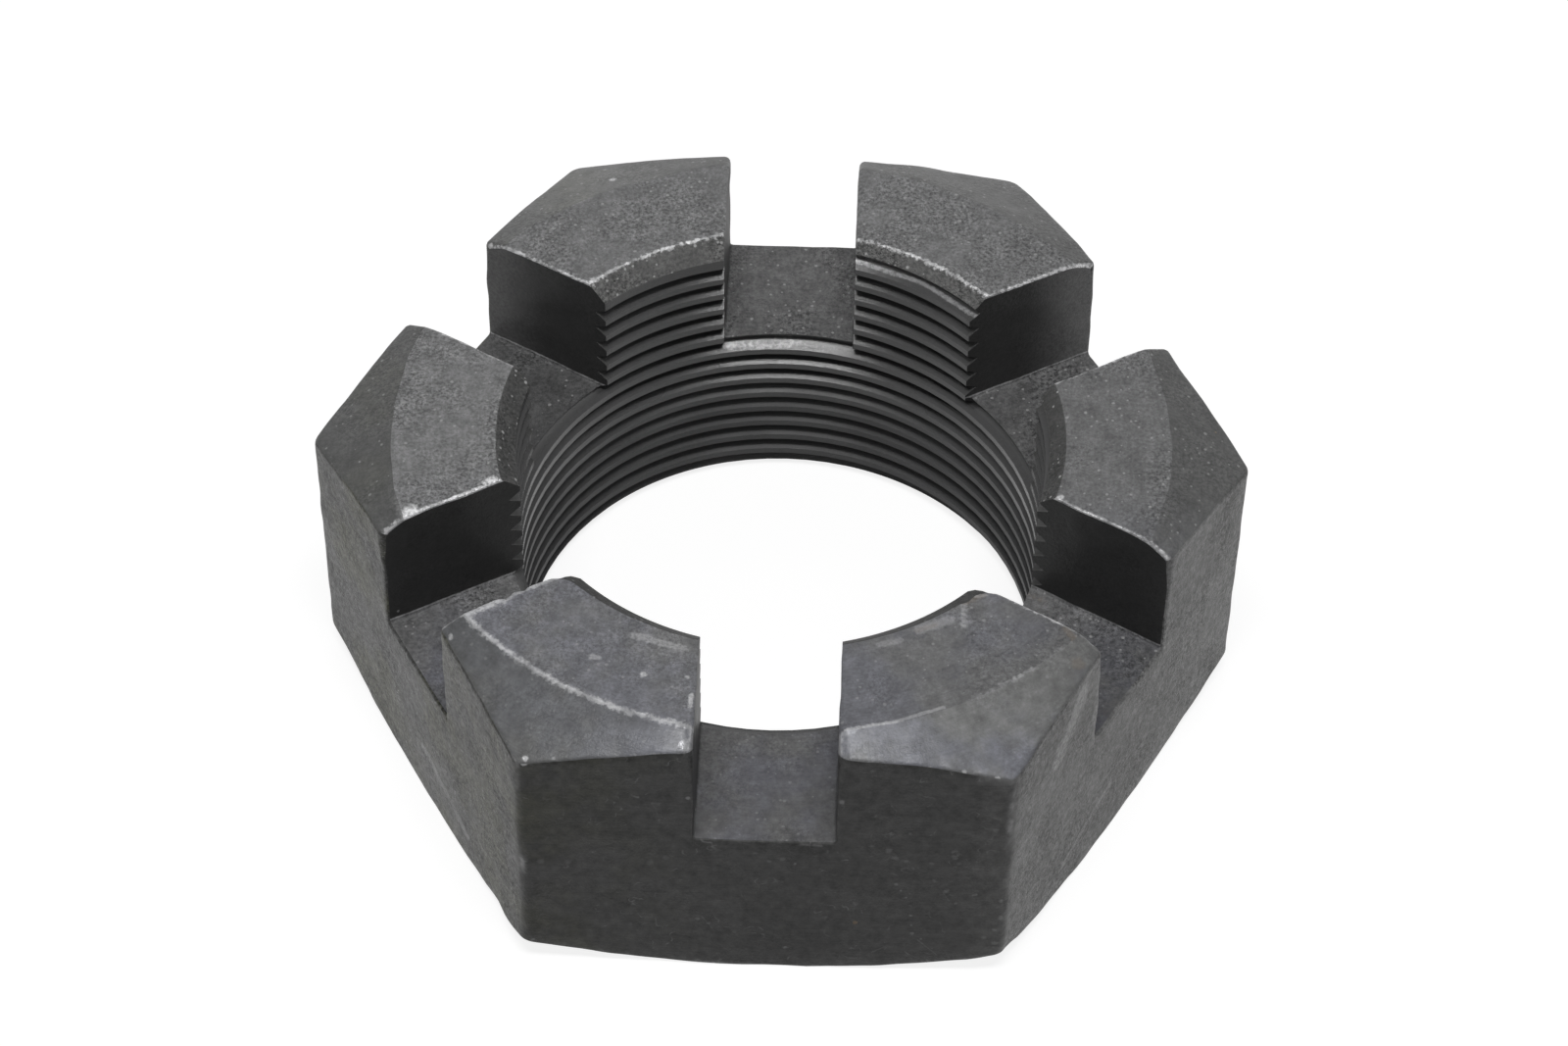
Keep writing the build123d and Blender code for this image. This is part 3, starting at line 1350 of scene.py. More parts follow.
@dataclass(frozen=True)
class SteelFinish:
    """One way that the nut's black-oxide steel looks, from its kind of surface and its wear.

    Lengths and depths are in millimetres. Calm smooths the grain from calm_from to calm_to towards the
    front. Deep roughness grows from the height deep_from down to deep_full. Painted light colours the
    thread lighter from groove_from to groove_full outside the bore. Wear grows with the grain's tone from
    hollow to raised.
    """

    name: str
    colour: tuple
    cool: float = 0.0
    warm: float = 0.0
    mottle: float = 0.12
    blotch_scale: float = 0.7
    roughness: float = 0.5
    deep_roughness: float = 0.0
    deep_from: float = 15.0
    deep_full: float = 8.0
    specular: float = 0.3
    film: float = 0.0
    film_roughness: float = 0.35
    cloud_roughness: float = 0.35
    worn_roughness: float = -0.12
    dark_roughness: float = 0.3
    grain_size: float = 0.34
    grain_depth: float = 0.08
    grain_tone: float = 0.55
    fine: float = 0.7
    pitting: float = 0.35
    pit_share: float = 0.45
    pit_colour: tuple = (0.03, 0.03, 0.03)
    glint: float = 0.45
    glint_size: float = 0.19
    glint_spacing: float = 0.7
    glint_cells: float = 0.6
    glint_colour: tuple = (0.48, 0.48, 0.48)
    calm: float = 0.6
    calm_from: float = 10.0
    calm_to: float = 24.0
    streak_along: str = "Ring"
    streak_width: float = 0.22
    streak_length: float = 7.0
    streak_depth: float = 0.02
    streak_tone: float = 0.1
    worn_edges: tuple = ()
    dark_edges: tuple = ()
    marks: tuple = ()
    rust_marks: tuple = ()
    # painted light and painted shade: sides whose colour is multiplied lighter or darker
    shades: tuple = ()
    scratched: float = 0.0
    hollow: float = 0.1
    raised: float = 0.75
    hollow_wear: float = 0.35
    worn_metal: float = 0.5
    worn_colour: tuple = (0.72, 0.72, 0.73)
    dark_colour: tuple = (0.030, 0.030, 0.028)
    light_specks: float = 0.15
    speck_size: float = 0.17
    speck_spacing: float = 4.0
    speck_wear: float = 0.4
    rust: float = 0.05
    rust_size: float = 0.4
    rust_spacing: float = 5.0
    rust_share: float = 0.7
    rust_colour: tuple = (0.24, 0.18, 0.12)
    # painted light: the thread's flanks and roots are coloured lighter than its crests
    groove_painted_light: float = 0.0
    groove_from: float = 0.4
    groove_full: float = 1.1
    groove_light_colour: tuple = (0.095, 0.095, 0.095)

    def steel(self, nodes: Nodes, spot: dict, grain: dict, streak: Value, calm: Value) -> Value:
        """Colour of the oxide: tints, grain, pits, streaks, painted glints, and each side's painted light and
        shade.

        Args:
            nodes: the material's nodes.
            spot: where a point lies on the nut.
            grain: what the grain's group puts out.
            streak: height of the streaks.
            calm: how much of the grain is smoothed away.

        Returns:
            Value: the colour.
        """
        colour = nodes.pattern("oxide_tint", {
            "Place": spot["Place"], "Base": (*self.colour, 1), "Cool": self.cool, "Warm": self.warm,
            "Mottle": self.mottle, "Blotch Scale": self.blotch_scale,
        })["Color"]
        tone = (grain["Tone"] - 0.5) * (2 * self.grain_tone) + 1.0
        tone = tone * ((streak - 0.5) * (4 * self.streak_tone) + 1.0)
        # painted light and painted shade: each listed side's colour is multiplied by its amount
        for shade in self.shades:
            tone = tone * shade.side.range(nodes, spot, 1.0, shade.amount)
        colour = nodes.mix(1.0, colour, nodes.combine(tone, tone, tone), "MULTIPLY")
        # painted highlights: glints, small bright dots that stand in for the lamps' sparkle on the grain
        glint = nodes.pattern("specks", {
            "Place": nodes.vector("ADD", spot["Place"], GLINT_SHIFT), "Spacing": self.glint_spacing,
            "Share": self.glint_cells, "Size": self.glint_size,
        })["Mask"]
        colour = nodes.mix(glint * ((1.0 - calm) * self.glint), colour, (*self.glint_colour, 1))
        return nodes.mix(grain["Pits"] * self.pit_share, colour, (*self.pit_colour, 1))

    def wear(self, nodes: Nodes, spot: dict, grain: dict, rough: Value) -> Value:
        """Where the oxide is worn through or a highlight is painted: specks, edges, marks and scratches,
        least in the grain's hollows.

        Args:
            nodes: the material's nodes.
            spot: where a point lies on the nut.
            grain: what the grain's group puts out.
            rough: noise about 0 that makes the marks' outlines ragged.

        Returns:
            Value: from 0 where the oxide is whole to 1 where the steel is bare or the painted highlight is
                full.
        """
        specks = nodes.pattern("specks", {
            "Place": spot["Place"], "Spacing": self.speck_spacing, "Share": self.light_specks,
            "Size": self.speck_size,
        })["Mask"]
        masks = [edge.mask(nodes, spot) for edge in self.worn_edges]
        masks += [mark.mask(nodes, spot["Place"], rough) for mark in self.marks]
        if self.scratched:
            lines = nodes.pattern("scratches", {"Place": spot["Place"], "Kept": 0.7})["Mask"]
            masks.append(lines * self.scratched)
        left = nodes.range(grain["Tone"], self.hollow, self.raised, self.hollow_wear, 1.0)
        return nodes.highest(specks * self.speck_wear, masks) * left

    def material(self, patterns: NutPatterns) -> bpy.types.Material:
        """Make the material.

        Args:
            patterns: the shader groups that the finishes share.

        Returns:
            bpy.types.Material: tinted oxide under grain and streaks, with worn edges, specks and rust.
        """
        material, nodes = Nodes.of_material(self.name, patterns)
        spot = nodes.pattern("nut_place")
        place = spot["Place"]
        forward = nodes.vector("DOT_PRODUCT", place, FRONT)
        calm = nodes.range(forward, self.calm_from, self.calm_to, 0.0, self.calm)
        grain = nodes.pattern("forge_grain", {
            "Place": place, "Size": self.grain_size, "Fine": self.fine, "Pitting": self.pitting, "Calm": calm,
        })
        streak = nodes.pattern("streaks", {
            "Place": spot[self.streak_along], "Width": self.streak_width, "Length": self.streak_length,
        })["Height"]
        ragged = nodes.noise(place, 2.0, 3.0, 0.65) - 0.5
        # dark edges: thick scale with a painted dark reflection on the lip, and painted shade at the thread's
        # ends
        dark = nodes.highest(0.0, [edge.mask(nodes, spot) for edge in self.dark_edges])
        worn = self.wear(nodes, spot, grain, ragged)
        rust = nodes.pattern("specks", {
            "Place": nodes.vector("ADD", place, RUST_SHIFT), "Spacing": self.rust_spacing, "Share": self.rust,
            "Size": self.rust_size,
        })["Mask"]
        stains = [mark.mask(nodes, place, ragged) for mark in self.rust_marks]
        rust = nodes.highest(rust * self.rust_share, stains)

        colour = nodes.mix(dark, self.steel(nodes, spot, grain, streak, calm), (*self.dark_colour, 1))
        # painted light in the grooves: flanks and roots mixed towards a lighter colour than the crests
        if self.groove_painted_light:
            bore = patterns.sizes.bore
            deep = nodes.range(spot["Radius"], bore + self.groove_from, bore + self.groove_full)
            colour = nodes.mix(deep * self.groove_painted_light, colour, (*self.groove_light_colour, 1))
        # worn also carries the painted highlights and painted reflection of some edges and marks
        colour = nodes.mix(worn, colour, (*self.worn_colour, 1))
        colour = nodes.mix(rust, colour, (*self.rust_colour, 1))

        rough = (grain["Cloud"] - 0.5) * self.cloud_roughness + self.roughness
        rough = rough + worn * self.worn_roughness + dark * self.dark_roughness
        if self.deep_roughness:
            height = nodes.values("ShaderNodeSeparateXYZ", {0: place})["Z"]
            rough = rough + nodes.range(height, self.deep_from, self.deep_full, 0.0, self.deep_roughness)
        normal = ORIGIN
        for bumps, depth in ((grain["Height"], self.grain_depth), (streak, self.streak_depth)):
            inputs = {"Height": bumps, "Distance": depth * MM, "Strength": 1.0, "Normal": normal}
            normal = nodes.values("ShaderNodeBump", inputs)["Normal"]
        film = nodes.range(nodes.noise(place, 1.8, 5.0, 0.75), 0.34, 0.66) * (1.0 - calm) * self.film
        nodes.shader({
            "Base Color": colour,
            "Roughness": rough,
            "Coat Weight": film,
            "Coat Roughness": self.film_roughness,
            "Metallic": nodes.math("MULTIPLY", worn, self.worn_metal, clamp=True),
            "Specular IOR Level": self.specular,
            "Normal": normal,
        })
        return material


LEFT_CIRCLE = WornEdge("Circle", 0.44, 1.1, 0.0, 0.75, Side(FRONT_LEFT_CROWN, 24.0, 30.0))
RIGHT_CIRCLE = WornEdge("Circle", 0.3, 1.1, 0.55, 0.38, Side(FRONT_RIGHT_CROWN, 24.0, 30.0))
FRONT_SLOTS = WornEdge("Slot", 0.5, 1.0, 0.0, 0.75, Side(FRONT, 33.5, 35.0))
SIDE_SLOTS = WornEdge("Slot", 0.34, 0.7, 0.1, 1.0, Side(SIDEWAYS, 10.0, 14.0, both_ways=True))
BACK_RIM = WornEdge("Rim", 0.26, 1.1, 0.1, 1.0, Side(BACK, 6.0, 16.0))
# painted shade: the thread darkened next to the side slots' walls, where it lies in shadow
THREAD_END_SHADE = WornEdge("Slot", 1.1, 0.3, -0.5, 0.9, Side(SIDEWAYS, 15.0, 19.0, both_ways=True))
# painted highlights: light strips on the right flat along its rounded lip and slot edge, which catch the
# light
RIGHT_LIP_HIGHLIGHT = WornEdge("Lip", 1.6, 0.6, -0.2, 0.2, Side(RIGHT_FLAT, 33.0, 36.0))
RIGHT_SLOT = WornEdge("Slot", 1.2, 0.8, -0.2, 0.2, Side(RIGHT_FLAT, 33.0, 36.0))
# painted reflection: a bright thin line where the slot wall meets its floor's fillet
FILLET_REFLECTION = WornEdge("Step", 0.16, 0.1, -0.2, 0.9, Side(SIDEWAYS, 10.0, 14.0, both_ways=True))
# the lip's dark line is partly thick scale and partly a painted dark reflection of the rounded edge
DARK_LIP = WornEdge("Lip", 0.5, 0.4, -0.5, 0.85)
LIP_CHIPS = WornEdge("Lip", 0.34, 0.6, 0.85, 0.7)
FOOT_CHIPS = WornEdge("Foot", 0.8, 1.0, 0.75, 0.5)
CORNER_CHIPS = WornEdge("Corner", 0.7, 0.8, 0.8, 0.5)

CROWN_MARKS = Mark.table(
    (-15.4, -27.3, 31.0, 0.4, 0.35, 0.6, -0.1, 0.0), (-10.8, -29.1, 31.0, 0.45, 0.7),
    (-18.0, 18.0, 31.0, 0.9, 0.9), (18.2, 17.9, 31.0, 0.7, 0.9), (-35.0, -8.2, 31.0, 0.5, 0.6),
    (-33.3, -11.8, 30.8, 0.85, 1.0, 0.9, 0.7, 0.1), (-26.0, -7.4, 31.0, 0.6, 1.0, 0.5, 0.3, 0.0),
    (-32.4, -11.4, 30.9, 0.25, 0.9, 6.6, 3.8, 0.0), (-11.9, -24.7, 31.0, 0.5, 0.3, 4.5, -1.4, 0.0),
    (6.4, -34.6, 31.0, 0.28, 0.5, 4.6, 1.2, 0.0), (11.0, -33.4, 31.0, 0.24, 0.35, 4.0, 1.8, 0.0),
    (-17.6, -17.4, 31.0, 0.5, 0.45, -5.6, -3.2, -0.1), (-23.2, -20.7, 31.0, 0.75, 0.7, -3.6, -2.2, -0.1),
    (-7.0, -29.2, 31.0, 0.3, 0.5), (-6.6, -31.2, 31.0, 0.3, 0.6, 0.0, -1.2, 0.0),
    (24.0, -7.6, 31.0, 0.4, 0.9, 1.2, 0.6, 0.0), (27.7, -9.5, 31.0, 0.4, 0.8, 2.4, -1.0, 0.0),
    (31.4, -11.9, 31.0, 0.5, 0.9, 3.2, -1.6, 0.0), (9.4, -24.9, 31.0, 0.4, 0.2, 1.8, 0.6, 0.0),
    (12.8, -23.0, 31.0, 0.7, 0.24, 2.6, 1.2, 0.0), (16.7, -20.0, 31.0, 0.4, 0.26, 0.0, -2.4, 0.0),
    (17.8, -18.9, 31.0, 0.35, 0.3, 0.8, 0.2, 0.0),
)
CHAMFER_MARKS = Mark.table(
    (-7.6, -35.9, 30.5, 1.8, 0.10), (8.2, -35.7, 30.6, 2.4, 0.10), (-6.8, -36.2, 30.4, 0.8, 0.55),
    (-17.3, 33.0, 30.0, 0.5, 0.8), (-20.5, -36.5, 28.2, 0.4, 0.8), (-18.1, -36.7, 28.6, 0.3, 0.7),
    (-41.0, -2.0, 28.0, 0.4, 0.6), (-13.0, -36.9, 29.4, 0.3, 0.35, 4.5, 0.0, 0.5),
    (14.1, -36.9, 29.2, 0.3, 0.5), (17.0, -36.8, 28.7, 0.35, 0.5), (19.8, -36.9, 28.0, 0.35, 0.6),
    (-27.9, -24.8, 30.1, 0.4, 0.6), (-33.6, -12.4, 30.6, 0.6, 0.8),
    (6.34, -34.65, 31.0, 0.24, 0.5, 0.0, -1.0, -0.4), (6.3, -35.6, 30.6, 0.24, 0.5, 0.45, -0.85, -0.4),
    (-6.6, -34.95, 30.8, 0.24, 0.5, 0.1, -0.65, -0.25),
    (-6.5, -35.6, 30.6, 0.24, 0.5, -0.45, -0.7, -0.35),
)
CHAMFER_RUST = Mark.table(
    (-39.0, 11.6, 29.0, 1.3, 0.35), (26.6, -25.6, 30.2, 0.8, 0.2), (-33.4, 12.6, 30.6, 0.8, 0.3),
)
CROWN_RUST = Mark.table(
    (25.6, -22.4, 31.0, 0.5, 0.25, 1.2, -1.8, 0.0), (-34.6, 10.6, 31.0, 1.0, 0.3),
    (16.8, -19.6, 31.0, 0.5, 0.25, 1.5, 0.9, 0.0), (12.6, -23.2, 31.0, 0.35, 0.15, 1.6, 0.8, 0.0),
)
# painted highlight: the fully lit thread flank just under the back slot's floor
SLOT_EDGE_HIGHLIGHT = Mark.table(
    (-5.9, 23.6, 17.45, 0.75, 0.27, 5.9, 0.85, 0.0), (0.0, 24.45, 17.45, 0.65, 0.2, 5.9, -0.85, 0.0),
)
# painted highlight: a bright stripe on the thread's last flank under the back-right crown's countersink
LAST_FLANK_HIGHLIGHT = Mark.table(
    (6.3, 24.0, 29.0, 0.3, 0.4, 6.4, -2.6, 0.0), (12.7, 21.4, 28.95, 0.3, 0.4, 5.6, -4.6, -0.1),
)
FRONT_NICKS = Mark.table(*((x, -37.0, z, reach, strength) for x, z, reach, strength in (
    (-6.6, 24.1, 0.3, 0.3), (6.6, 24.2, 0.35, 0.25), (0.4, 15.5, 0.3, 0.12), (1.6, 15.9, 0.35, 0.13),
    (2.7, 15.3, 0.25, 0.2), (-0.8, 16.6, 0.3, 0.1), (11.6, 12.8, 0.25, 0.2), (12.0, 11.9, 0.2, 0.22),
    (12.5, 10.9, 0.2, 0.22), (12.9, 9.7, 0.18, 0.2), (13.0, 8.3, 0.22, 0.22), (13.1, 6.9, 0.18, 0.2),
    (13.2, 5.7, 0.25, 0.2), (14.0, 4.9, 0.2, 0.2), (16.0, 12.0, 0.3, 0.16), (16.9, 10.3, 0.2, 0.18),
    (9.3, 18.1, 0.35, 0.13), (10.8, 17.6, 0.4, 0.13), (11.4, 16.6, 0.45, 0.15), (12.4, 16.2, 0.3, 0.12),
    (14.6, 16.0, 0.3, 0.1), (17.0, 16.1, 0.25, 0.1), (11.0, 19.9, 0.35, 0.1), (12.6, 20.1, 0.25, 0.1),
    (14.9, 13.4, 0.3, 0.12), (-5.9, 6.7, 0.3, 0.14), (-4.9, 6.1, 0.25, 0.14), (-2.6, 5.0, 0.3, 0.1),
    (-8.6, 15.4, 0.4, 0.08), (-10.0, 14.7, 0.4, 0.08), (-19.6, 14.4, 0.45, 0.09), (20.9, 10.8, 0.35, 0.2),
    (21.0, 8.4, 0.4, 0.18), (20.5, 6.6, 0.3, 0.16), (20.6, 4.6, 0.4, 0.16), (19.6, 5.4, 0.3, 0.12),
)))
FLAT_RUST = Mark.table(
    (-19.4, -37.0, 1.4, 0.5, 0.5, 8.3, 0.0, -1.1), (8.1, -37.0, 7.0, 0.3, 0.75),
)
FLAT_MARKS = Mark.table(
    (-20.6, -36.9, 28.0, 0.4, 0.6), (3.2, -37.0, 18.0, 0.25, 0.16, 1.7, 0.0, -0.1),
    (15.4, -37.0, 12.5, 0.12, 0.14, 1.8, 0.0, -3.8), (13.7, -37.0, 4.8, 0.12, 0.14, 1.9, 0.0, -2.4),
    (9.7, -37.0, 2.7, 0.12, 0.1, 2.8, 0.0, 2.1), (-5.5, -37.0, 7.1, 0.14, 0.14, 1.1, 0.0, -2.1),
    # the mark at (27.6, -26.9, 27.4) is a painted highlight on the lit sliver of flat beside the right slot
    (-36.6, -9.8, 26.8, 0.5, 0.14, 1.5, -2.6, -9.0), (27.6, -26.9, 27.4, 1.7, 0.3, -1.9, -3.3, -5.0),
    (26.4, -28.0, 4.0, 0.5, 0.22, 4.5, 7.8, 3.0), (-27.5, -26.4, 4.0, 0.7, 0.22, -4.5, 7.8, 3.0),
)
WALL_MARKS = Mark.table(
    (-32.6, -11.9, 29.0, 0.16, 0.30, 1.2, 0.6, -1.6), (-34.2, -12.5, 18.9, 0.2, 0.4),
)
FLOOR_MARKS = Mark.table(
    (-24.6, -12.9, 18.2, 0.2, 0.3, 3.0, 1.6, 0.0), (27.0, -15.0, 18.2, 0.15, 0.3, 5.0, -3.0, 0.0),
    (22.4, -6.8, 18.4, 0.55, 0.5, 1.8, -0.9, 0.0), (24.6, -8.0, 18.3, 0.35, 0.35, 1.6, -0.9, 0.0),
)
FLOOR_RUST = Mark.table(
    (22.6, -6.9, 18.4, 0.7, 0.42, 1.8, -0.9, 0.0), (25.4, -8.4, 18.3, 0.35, 0.35, 3.0, -1.7, 0.0),
)

# The sides that each finish multiplies lighter or darker are painted light and painted shade.
FINISHES = {
    Finish.CROWN: SteelFinish(
        "crown_forged", (0.183, 0.184, 0.186), cool=0.5, mottle=0.38, blotch_scale=0.7, grain_tone=0.88,
        glint=0.62, calm=0.45, light_specks=0.25,
        marks=CROWN_MARKS, rust_marks=CROWN_RUST,
        worn_edges=(LEFT_CIRCLE, RIGHT_CIRCLE, SIDE_SLOTS, BACK_RIM),
        shades=(
            Shade(1.1, Side(LEFT_CROWN, 22.0, 30.0)), Shade(0.84, Side(RIGHT_CROWN, 16.0, 26.0)),
            Shade(0.84, Side(FRONT_RIGHT_CROWN, 22.0, 30.0)),
        ),
    ),
    Finish.CHAMFER: SteelFinish(
        "chamfer_turned", (0.106, 0.107, 0.106), cool=0.8, warm=0.3, mottle=0.42, roughness=0.36,
        specular=0.45, grain_depth=0.05, grain_tone=0.75, glint=0.4, light_specks=0.3, rust=0.2,
        marks=CHAMFER_MARKS, rust_marks=CHAMFER_RUST, dark_edges=(DARK_LIP,),
        worn_edges=(LEFT_CIRCLE, RIGHT_CIRCLE, SIDE_SLOTS, FRONT_SLOTS, LIP_CHIPS),
        shades=(
            Shade(0.66, Side(LEFT_CROWN, 22.0, 30.0)), Shade(0.62, Side(RIGHT_CROWN, 22.0, 30.0)),
            Shade(0.8, Side(BACK_RIGHT_CROWN, 22.0, 30.0)),
            Shade(1.15, Side(FRONT_LEFT_CROWN, 22.0, 30.0)),
            Shade(1.6, Side(FRONT_RIGHT_CROWN, 22.0, 30.0)),
        ),
    ),
    Finish.FLAT: SteelFinish(
        "flat_rolled", (0.072, 0.072, 0.071), warm=1.0, mottle=0.62, blotch_scale=0.9, roughness=0.42,
        specular=0.155, film=0.32, grain_depth=0.2, grain_size=0.3, grain_tone=1.1, glint=0.25,
        calm=0.85, calm_from=35.5, calm_to=36.8, streak_along="Flat", streak_tone=0.14,
        streak_depth=0.02, scratched=0.35,
        marks=FLAT_MARKS + FRONT_NICKS, rust_marks=FLAT_RUST,
        worn_edges=(LIP_CHIPS, FOOT_CHIPS, CORNER_CHIPS, RIGHT_LIP_HIGHLIGHT, RIGHT_SLOT), dark_edges=(DARK_LIP,),
        shades=(
            Shade(1.5, Side(RIGHT_FLAT, 33.0, 36.0)), Shade(0.9, Side(LEFT_FLAT, 33.0, 36.0)),
            Shade(0.78, Side(FRONT, 35.5, 36.8)), Shade(1.2, Side(SIDEWAYS, 34.0, 41.0, both_ways=True)),
        ),
    ),
    Finish.SLOT_WALL: SteelFinish(
        "slot_wall", (0.038, 0.038, 0.038), roughness=0.5, specular=0.22, grain_depth=0.02,
        grain_tone=0.3, glint=0.0, light_specks=0.05,
        worn_edges=(FILLET_REFLECTION,), marks=WALL_MARKS,
        shades=(
            Shade(1.2, Side(BACK, 5.0, 12.0)), Shade(3.9, Side(RIGHT_SLOT_END, 29.0, 37.0)),
            Shade(2.9, Side(LEFT_SLOT_END, 29.0, 37.5)),
        ),
    ),
    Finish.SLOT_FLOOR: SteelFinish(
        "slot_floor", (0.130, 0.130, 0.131), cool=0.6, mottle=0.36, grain_tone=1.0, glint=0.6,
        light_specks=0.25,
        worn_edges=(FILLET_REFLECTION,), marks=FLOOR_MARKS, rust_marks=FLOOR_RUST,
        shades=(
            Shade(1.2, Side(LEFT_CROWN, 15.0, 22.0)), Shade(1.3, Side(RIGHT_CROWN, 15.0, 22.0)),
            Shade(0.68, Side(RIGHT_FLAT, 29.0, 34.0)), Shade(0.72, Side(RIGHT_SLOT_END, 20.0, 26.0)),
            Shade(0.58, Side(LEFT_SLOT_END, 20.0, 26.0)),
        ),
    ),
    Finish.THREAD: SteelFinish(
        "thread_cut", (0.042, 0.042, 0.043), roughness=0.21, deep_roughness=0.35, specular=0.43,
        grain_depth=0.006, grain_tone=0.2, glint=0.0, pitting=0.1, rust=0.0, light_specks=0.03,
        groove_painted_light=1.0,
        marks=SLOT_EDGE_HIGHLIGHT + LAST_FLANK_HIGHLIGHT, dark_edges=(THREAD_END_SHADE,),
    ),
    Finish.COUNTERSINK: SteelFinish(
        "countersink", (0.130, 0.130, 0.128), mottle=0.4, glint=1.0, grain_size=0.3, grain_tone=1.0,
        pitting=0.6,
        worn_edges=(BACK_RIM,),
        shades=(
            Shade(0.5, Side(SIDEWAYS, 18.0, 23.0, both_ways=True)), Shade(0.4, Side(FRONT, 10.0, 15.0)),
        ),
    ),
    Finish.BEARING: SteelFinish(
        "bearing_face", (0.15, 0.15, 0.15), roughness=0.4, grain_depth=0.012, grain_tone=0.3, glint=0.1,
        streak_depth=0.02,
    ),
}


def added(name: str, data: bpy.types.ID) -> bpy.types.Object:
    """Make an object and link it to the scene.

    Args:
        name: the object's name.
        data: its mesh, lamp or camera data.

    Returns:
        bpy.types.Object: the object.
    """
    made = bpy.data.objects.new(name, data)
    bpy.context.scene.collection.objects.link(made)
    return made


def direction(azimuth: float, elevation: float) -> tuple:
    """Direction at an azimuth from the camera's side towards +X and an elevation, both in radians."""
    level = math.cos(elevation)
    return math.sin(azimuth) * level, -math.cos(azimuth) * level, math.sin(elevation)


@dataclass
class HubNut:
    """The nut as one closed mesh with its finishes."""

    surface: NutSurface
    patterns: NutPatterns
    skin: ForgedSkin = ForgedSkin()
    weld: float = 2e-6
    sharp_angle: float = 38.0

    def raw_mesh(self) -> bpy.types.Mesh:
        """Put every grid into one mesh, with its finishes, before the borders are joined.

        Returns:
            bpy.types.Mesh: four-sided faces in metres.
        """
        points, faces, finishes, base = [], [], [], 0
        for grid in self.surface.grids():
            rows, columns = grid.points.shape[:2]
            number = base + np.arange(rows * columns).reshape(rows, columns)
            corners = (number[:-1, :-1], number[:-1, 1:], number[1:, 1:], number[1:, :-1])
            faces.append(np.stack(corners, axis=-1).reshape(-1, 4))
            bands = np.array([finish.value for finish in grid.finishes])
            finishes.append(np.repeat(bands, columns - 1))
            points.append(self.skin.applied(grid.points.reshape(-1, 3)) * MM)
            base += rows * columns
        points, faces, finishes = (np.concatenate(x) for x in (points, faces, finishes))
        mesh = bpy.data.meshes.new("hub_nut_steel")
        mesh.vertices.add(len(points))
        mesh.vertices.foreach_set("co", points.astype(np.float32).ravel())
        mesh.loops.add(faces.size)
        mesh.loops.foreach_set("vertex_index", faces.astype(np.int32).ravel())
        mesh.polygons.add(len(faces))
        mesh.polygons.foreach_set("loop_start", np.arange(0, faces.size, 4, dtype=np.int32))
        mesh.update(calc_edges=True)
        bands = mesh.attributes.new("material_index", "INT", "FACE")
        bands.data.foreach_set("value", finishes.astype(np.int32))
        return mesh

    def joined_mesh(self) -> bpy.types.Mesh:
        """Join the grids' borders, drop the faces that have no area and turn the rest outwards.

        Returns:
            bpy.types.Mesh: the closed mesh.
        """
        mesh = self.raw_mesh()
        form = bmesh.new()
        form.from_mesh(mesh)
        bmesh.ops.remove_doubles(form, verts=form.verts, dist=self.weld)
        bmesh.ops.dissolve_degenerate(form, edges=form.edges, dist=self.weld)
        bmesh.ops.recalc_face_normals(form, faces=form.faces)
        open_edges = sum(1 for edge in form.edges if len(edge.link_faces) != 2)
        LOG.info("hub nut: %d faces, %d open edges, volume %.2f cm3",
                 len(form.faces), open_edges, form.calc_volume() * 1e6)
        form.to_mesh(mesh)
        form.free()
        mesh.polygons.foreach_set("use_smooth", np.ones(len(mesh.polygons), bool))
        mesh.set_sharp_from_angle(angle=math.radians(self.sharp_angle))
        return mesh

    def build(self) -> bpy.types.Object:
        """Make the nut, ride it on the frame and put it in its CAD node's place.

        Returns:
            bpy.types.Object: the nut.
        """
        nut = added("hub_nut_forged", self.joined_mesh())
        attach(nut, "root")
        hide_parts("hub_nut")
        for finish in Finish:
            nut.data.materials.append(FINISHES[finish].material(self.patterns))
        return nut


@dataclass(frozen=True)
class SoftBox:
    """A rectangular lamp that faces the nut.

    Azimuth 0 stands on the camera's side and 90 on the +X side; elevation is above the floor, in degrees.
    """

    name: str
    azimuth: float
    elevation: float
    distance: float
    width: float
    height: float
    power: float

    def build(self, aim: Vector) -> None:
        """Stand the lamp in its place.

        Args:
            aim: the point that it faces.
        """
        data = bpy.data.lights.new(self.name, "AREA")
        data.shape = "RECTANGLE"
        data.size, data.size_y = self.width, self.height
        data.energy = self.power
        lamp = added(self.name, data)
        away = Vector(direction(math.radians(self.azimuth), math.radians(self.elevation)))
        lamp.location = aim + away * self.distance
        lamp.rotation_euler = away.to_track_quat("Z", "Y").to_euler()
        lamp.visible_camera = False


@dataclass(frozen=True)
class FloorFinish:
    """Plain white floor: lamps light a part of its white, so that it keeps shadows; the rest is its own."""

    lit: float = 0.3
    own: float = 0.84

    def material(self) -> bpy.types.Material:
        """Make the floor's material.

        Returns:
            bpy.types.Material: a matt colour, with its own white only where it is seen or mirrored.
        """
        material, nodes = Nodes.of_material("studio_floor")
        nodes.shader({
            "Base Color": (self.lit, self.lit, self.lit, 1),
            "Roughness": 1.0,
            "Specular IOR Level": 0.0,
            "Emission Color": (1, 1, 1, 1),
            "Emission Strength": nodes.seen() * self.own,
        })
        return material


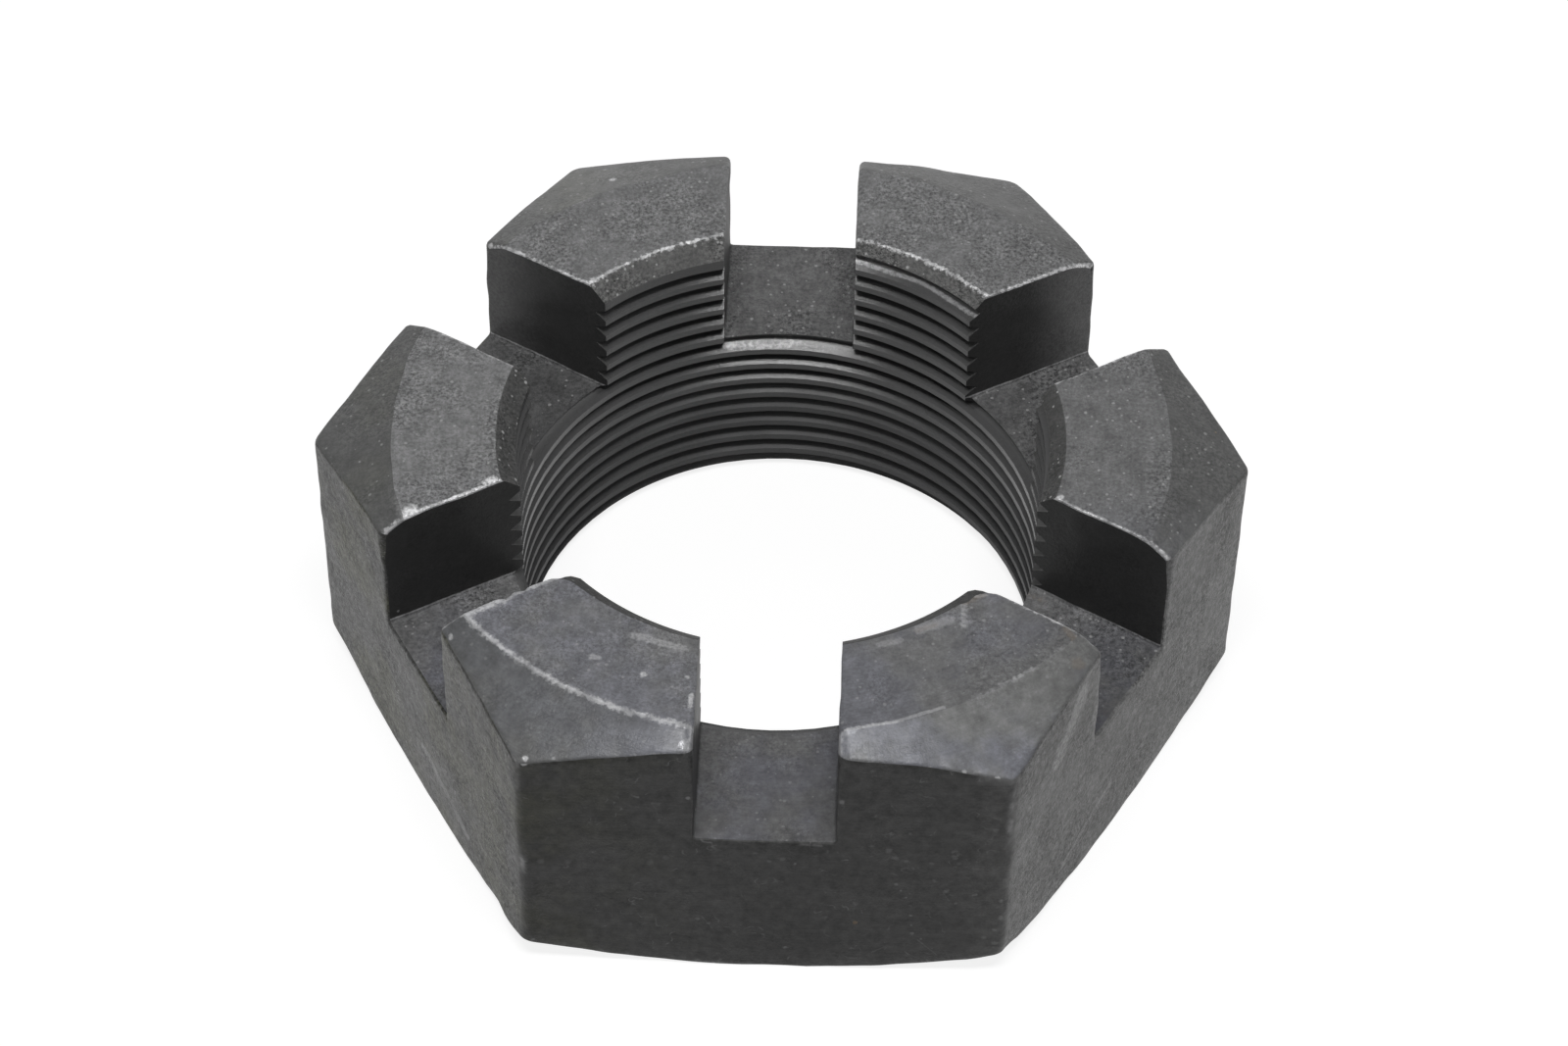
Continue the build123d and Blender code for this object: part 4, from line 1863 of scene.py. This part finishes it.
@dataclass
class Studio:
    """Floor, lamps, world and camera round the nut."""

    nut_height: float
    azimuth: float = 1.42
    elevation: float = 48.19
    roll: float = 0.81
    distance: float = 402.95
    aim_right: float = 0.41
    aim_up: float = 2.0
    focal_length: float = 99.5
    sensor_width: float = 36.0
    clip: tuple = (0.01, 20.0)
    floor_reach: float = 6.0
    room_light: float = 0.12
    lamps: tuple = (
        SoftBox("lamp_above", 2.0, 75.0, 0.9, 0.42, 0.16, 3.9),
        SoftBox("lamp_back", 180.0, 48.0, 0.9, 0.6, 0.3, 0.6),
        SoftBox("lamp_left", -88.0, 12.0, 0.9, 0.5, 0.4, 0.7),
        SoftBox("lamp_right", 88.0, 12.0, 0.9, 0.5, 0.4, 0.8),
    )

    def camera(self) -> None:
        """Place the camera at the photograph's viewing angle.

        It looks at the nut's middle from the azimuth and elevation, turned by the roll, and is then moved
        sideways and up in its own picture plane.
        """
        azimuth, elevation, roll = (math.radians(a) for a in (self.azimuth, self.elevation, self.roll))
        away = np.array(direction(azimuth, elevation))
        right = np.array((math.cos(azimuth), math.sin(azimuth), 0))
        up = np.cross(away, right)
        turned_right = math.cos(roll) * right + math.sin(roll) * up
        turned_up = math.cos(roll) * up - math.sin(roll) * right
        place = self.distance * away + self.aim_right * turned_right + self.aim_up * turned_up
        place[2] += self.nut_height / 2
        data = bpy.data.cameras.new("studio_camera")
        data.sensor_width = self.sensor_width
        data.lens = self.focal_length
        data.clip_start, data.clip_end = self.clip
        camera = added("studio_camera", data)
        matrix = np.eye(4)
        matrix[:3] = np.column_stack((turned_right, turned_up, away, place * MM))
        camera.matrix_world = matrix.T
        bpy.context.scene.camera = camera

    def floor(self) -> None:
        """Lay the floor under the nut, as far as the eye can see."""
        mesh = bpy.data.meshes.new("studio_floor")
        signs = ((-1, -1), (1, -1), (1, 1), (-1, 1))
        corners = [(x * self.floor_reach, y * self.floor_reach, 0) for x, y in signs]
        mesh.from_pydata(corners, [], [(0, 1, 2, 3)])
        mesh.materials.append(FloorFinish().material())
        floor = added("studio_floor", mesh)

    def sky(self) -> None:
        """Fill the room with dim light; the eye and the steel see it white."""
        world = bpy.data.worlds.new("studio_room")
        world.use_nodes = True
        world.node_tree.nodes.clear()
        nodes = Nodes(world.node_tree)
        strength = nodes.seen() * (1.0 - self.room_light) + self.room_light
        room = nodes.values("ShaderNodeBackground", {"Color": (1, 1, 1, 1), "Strength": strength})
        nodes.add("ShaderNodeOutputWorld", {"Surface": room["Background"]})
        bpy.context.scene.world = world

    def build(self) -> None:
        """Set up the whole studio."""
        bpy.context.scene.view_settings.view_transform = "Standard"
        self.camera()
        self.floor()
        self.sky()
        for lamp in self.lamps:
            lamp.build(Vector((0, 0, self.nut_height / 2 * MM)))


def main() -> None:
    """Build the nut, then its studio."""
    logging.basicConfig(level=logging.INFO, format="%(name)s: %(message)s")
    sizes = NutSizes.from_frame()
    nut = HubNut(NutSurface(sizes), NutPatterns(sizes)).build()
    LOG.info("hub nut: %s", nut.name)
    Studio(sizes.height).build()
    LOG.info("studio: camera, lamps and floor")


if __name__ == "__main__":
    main()
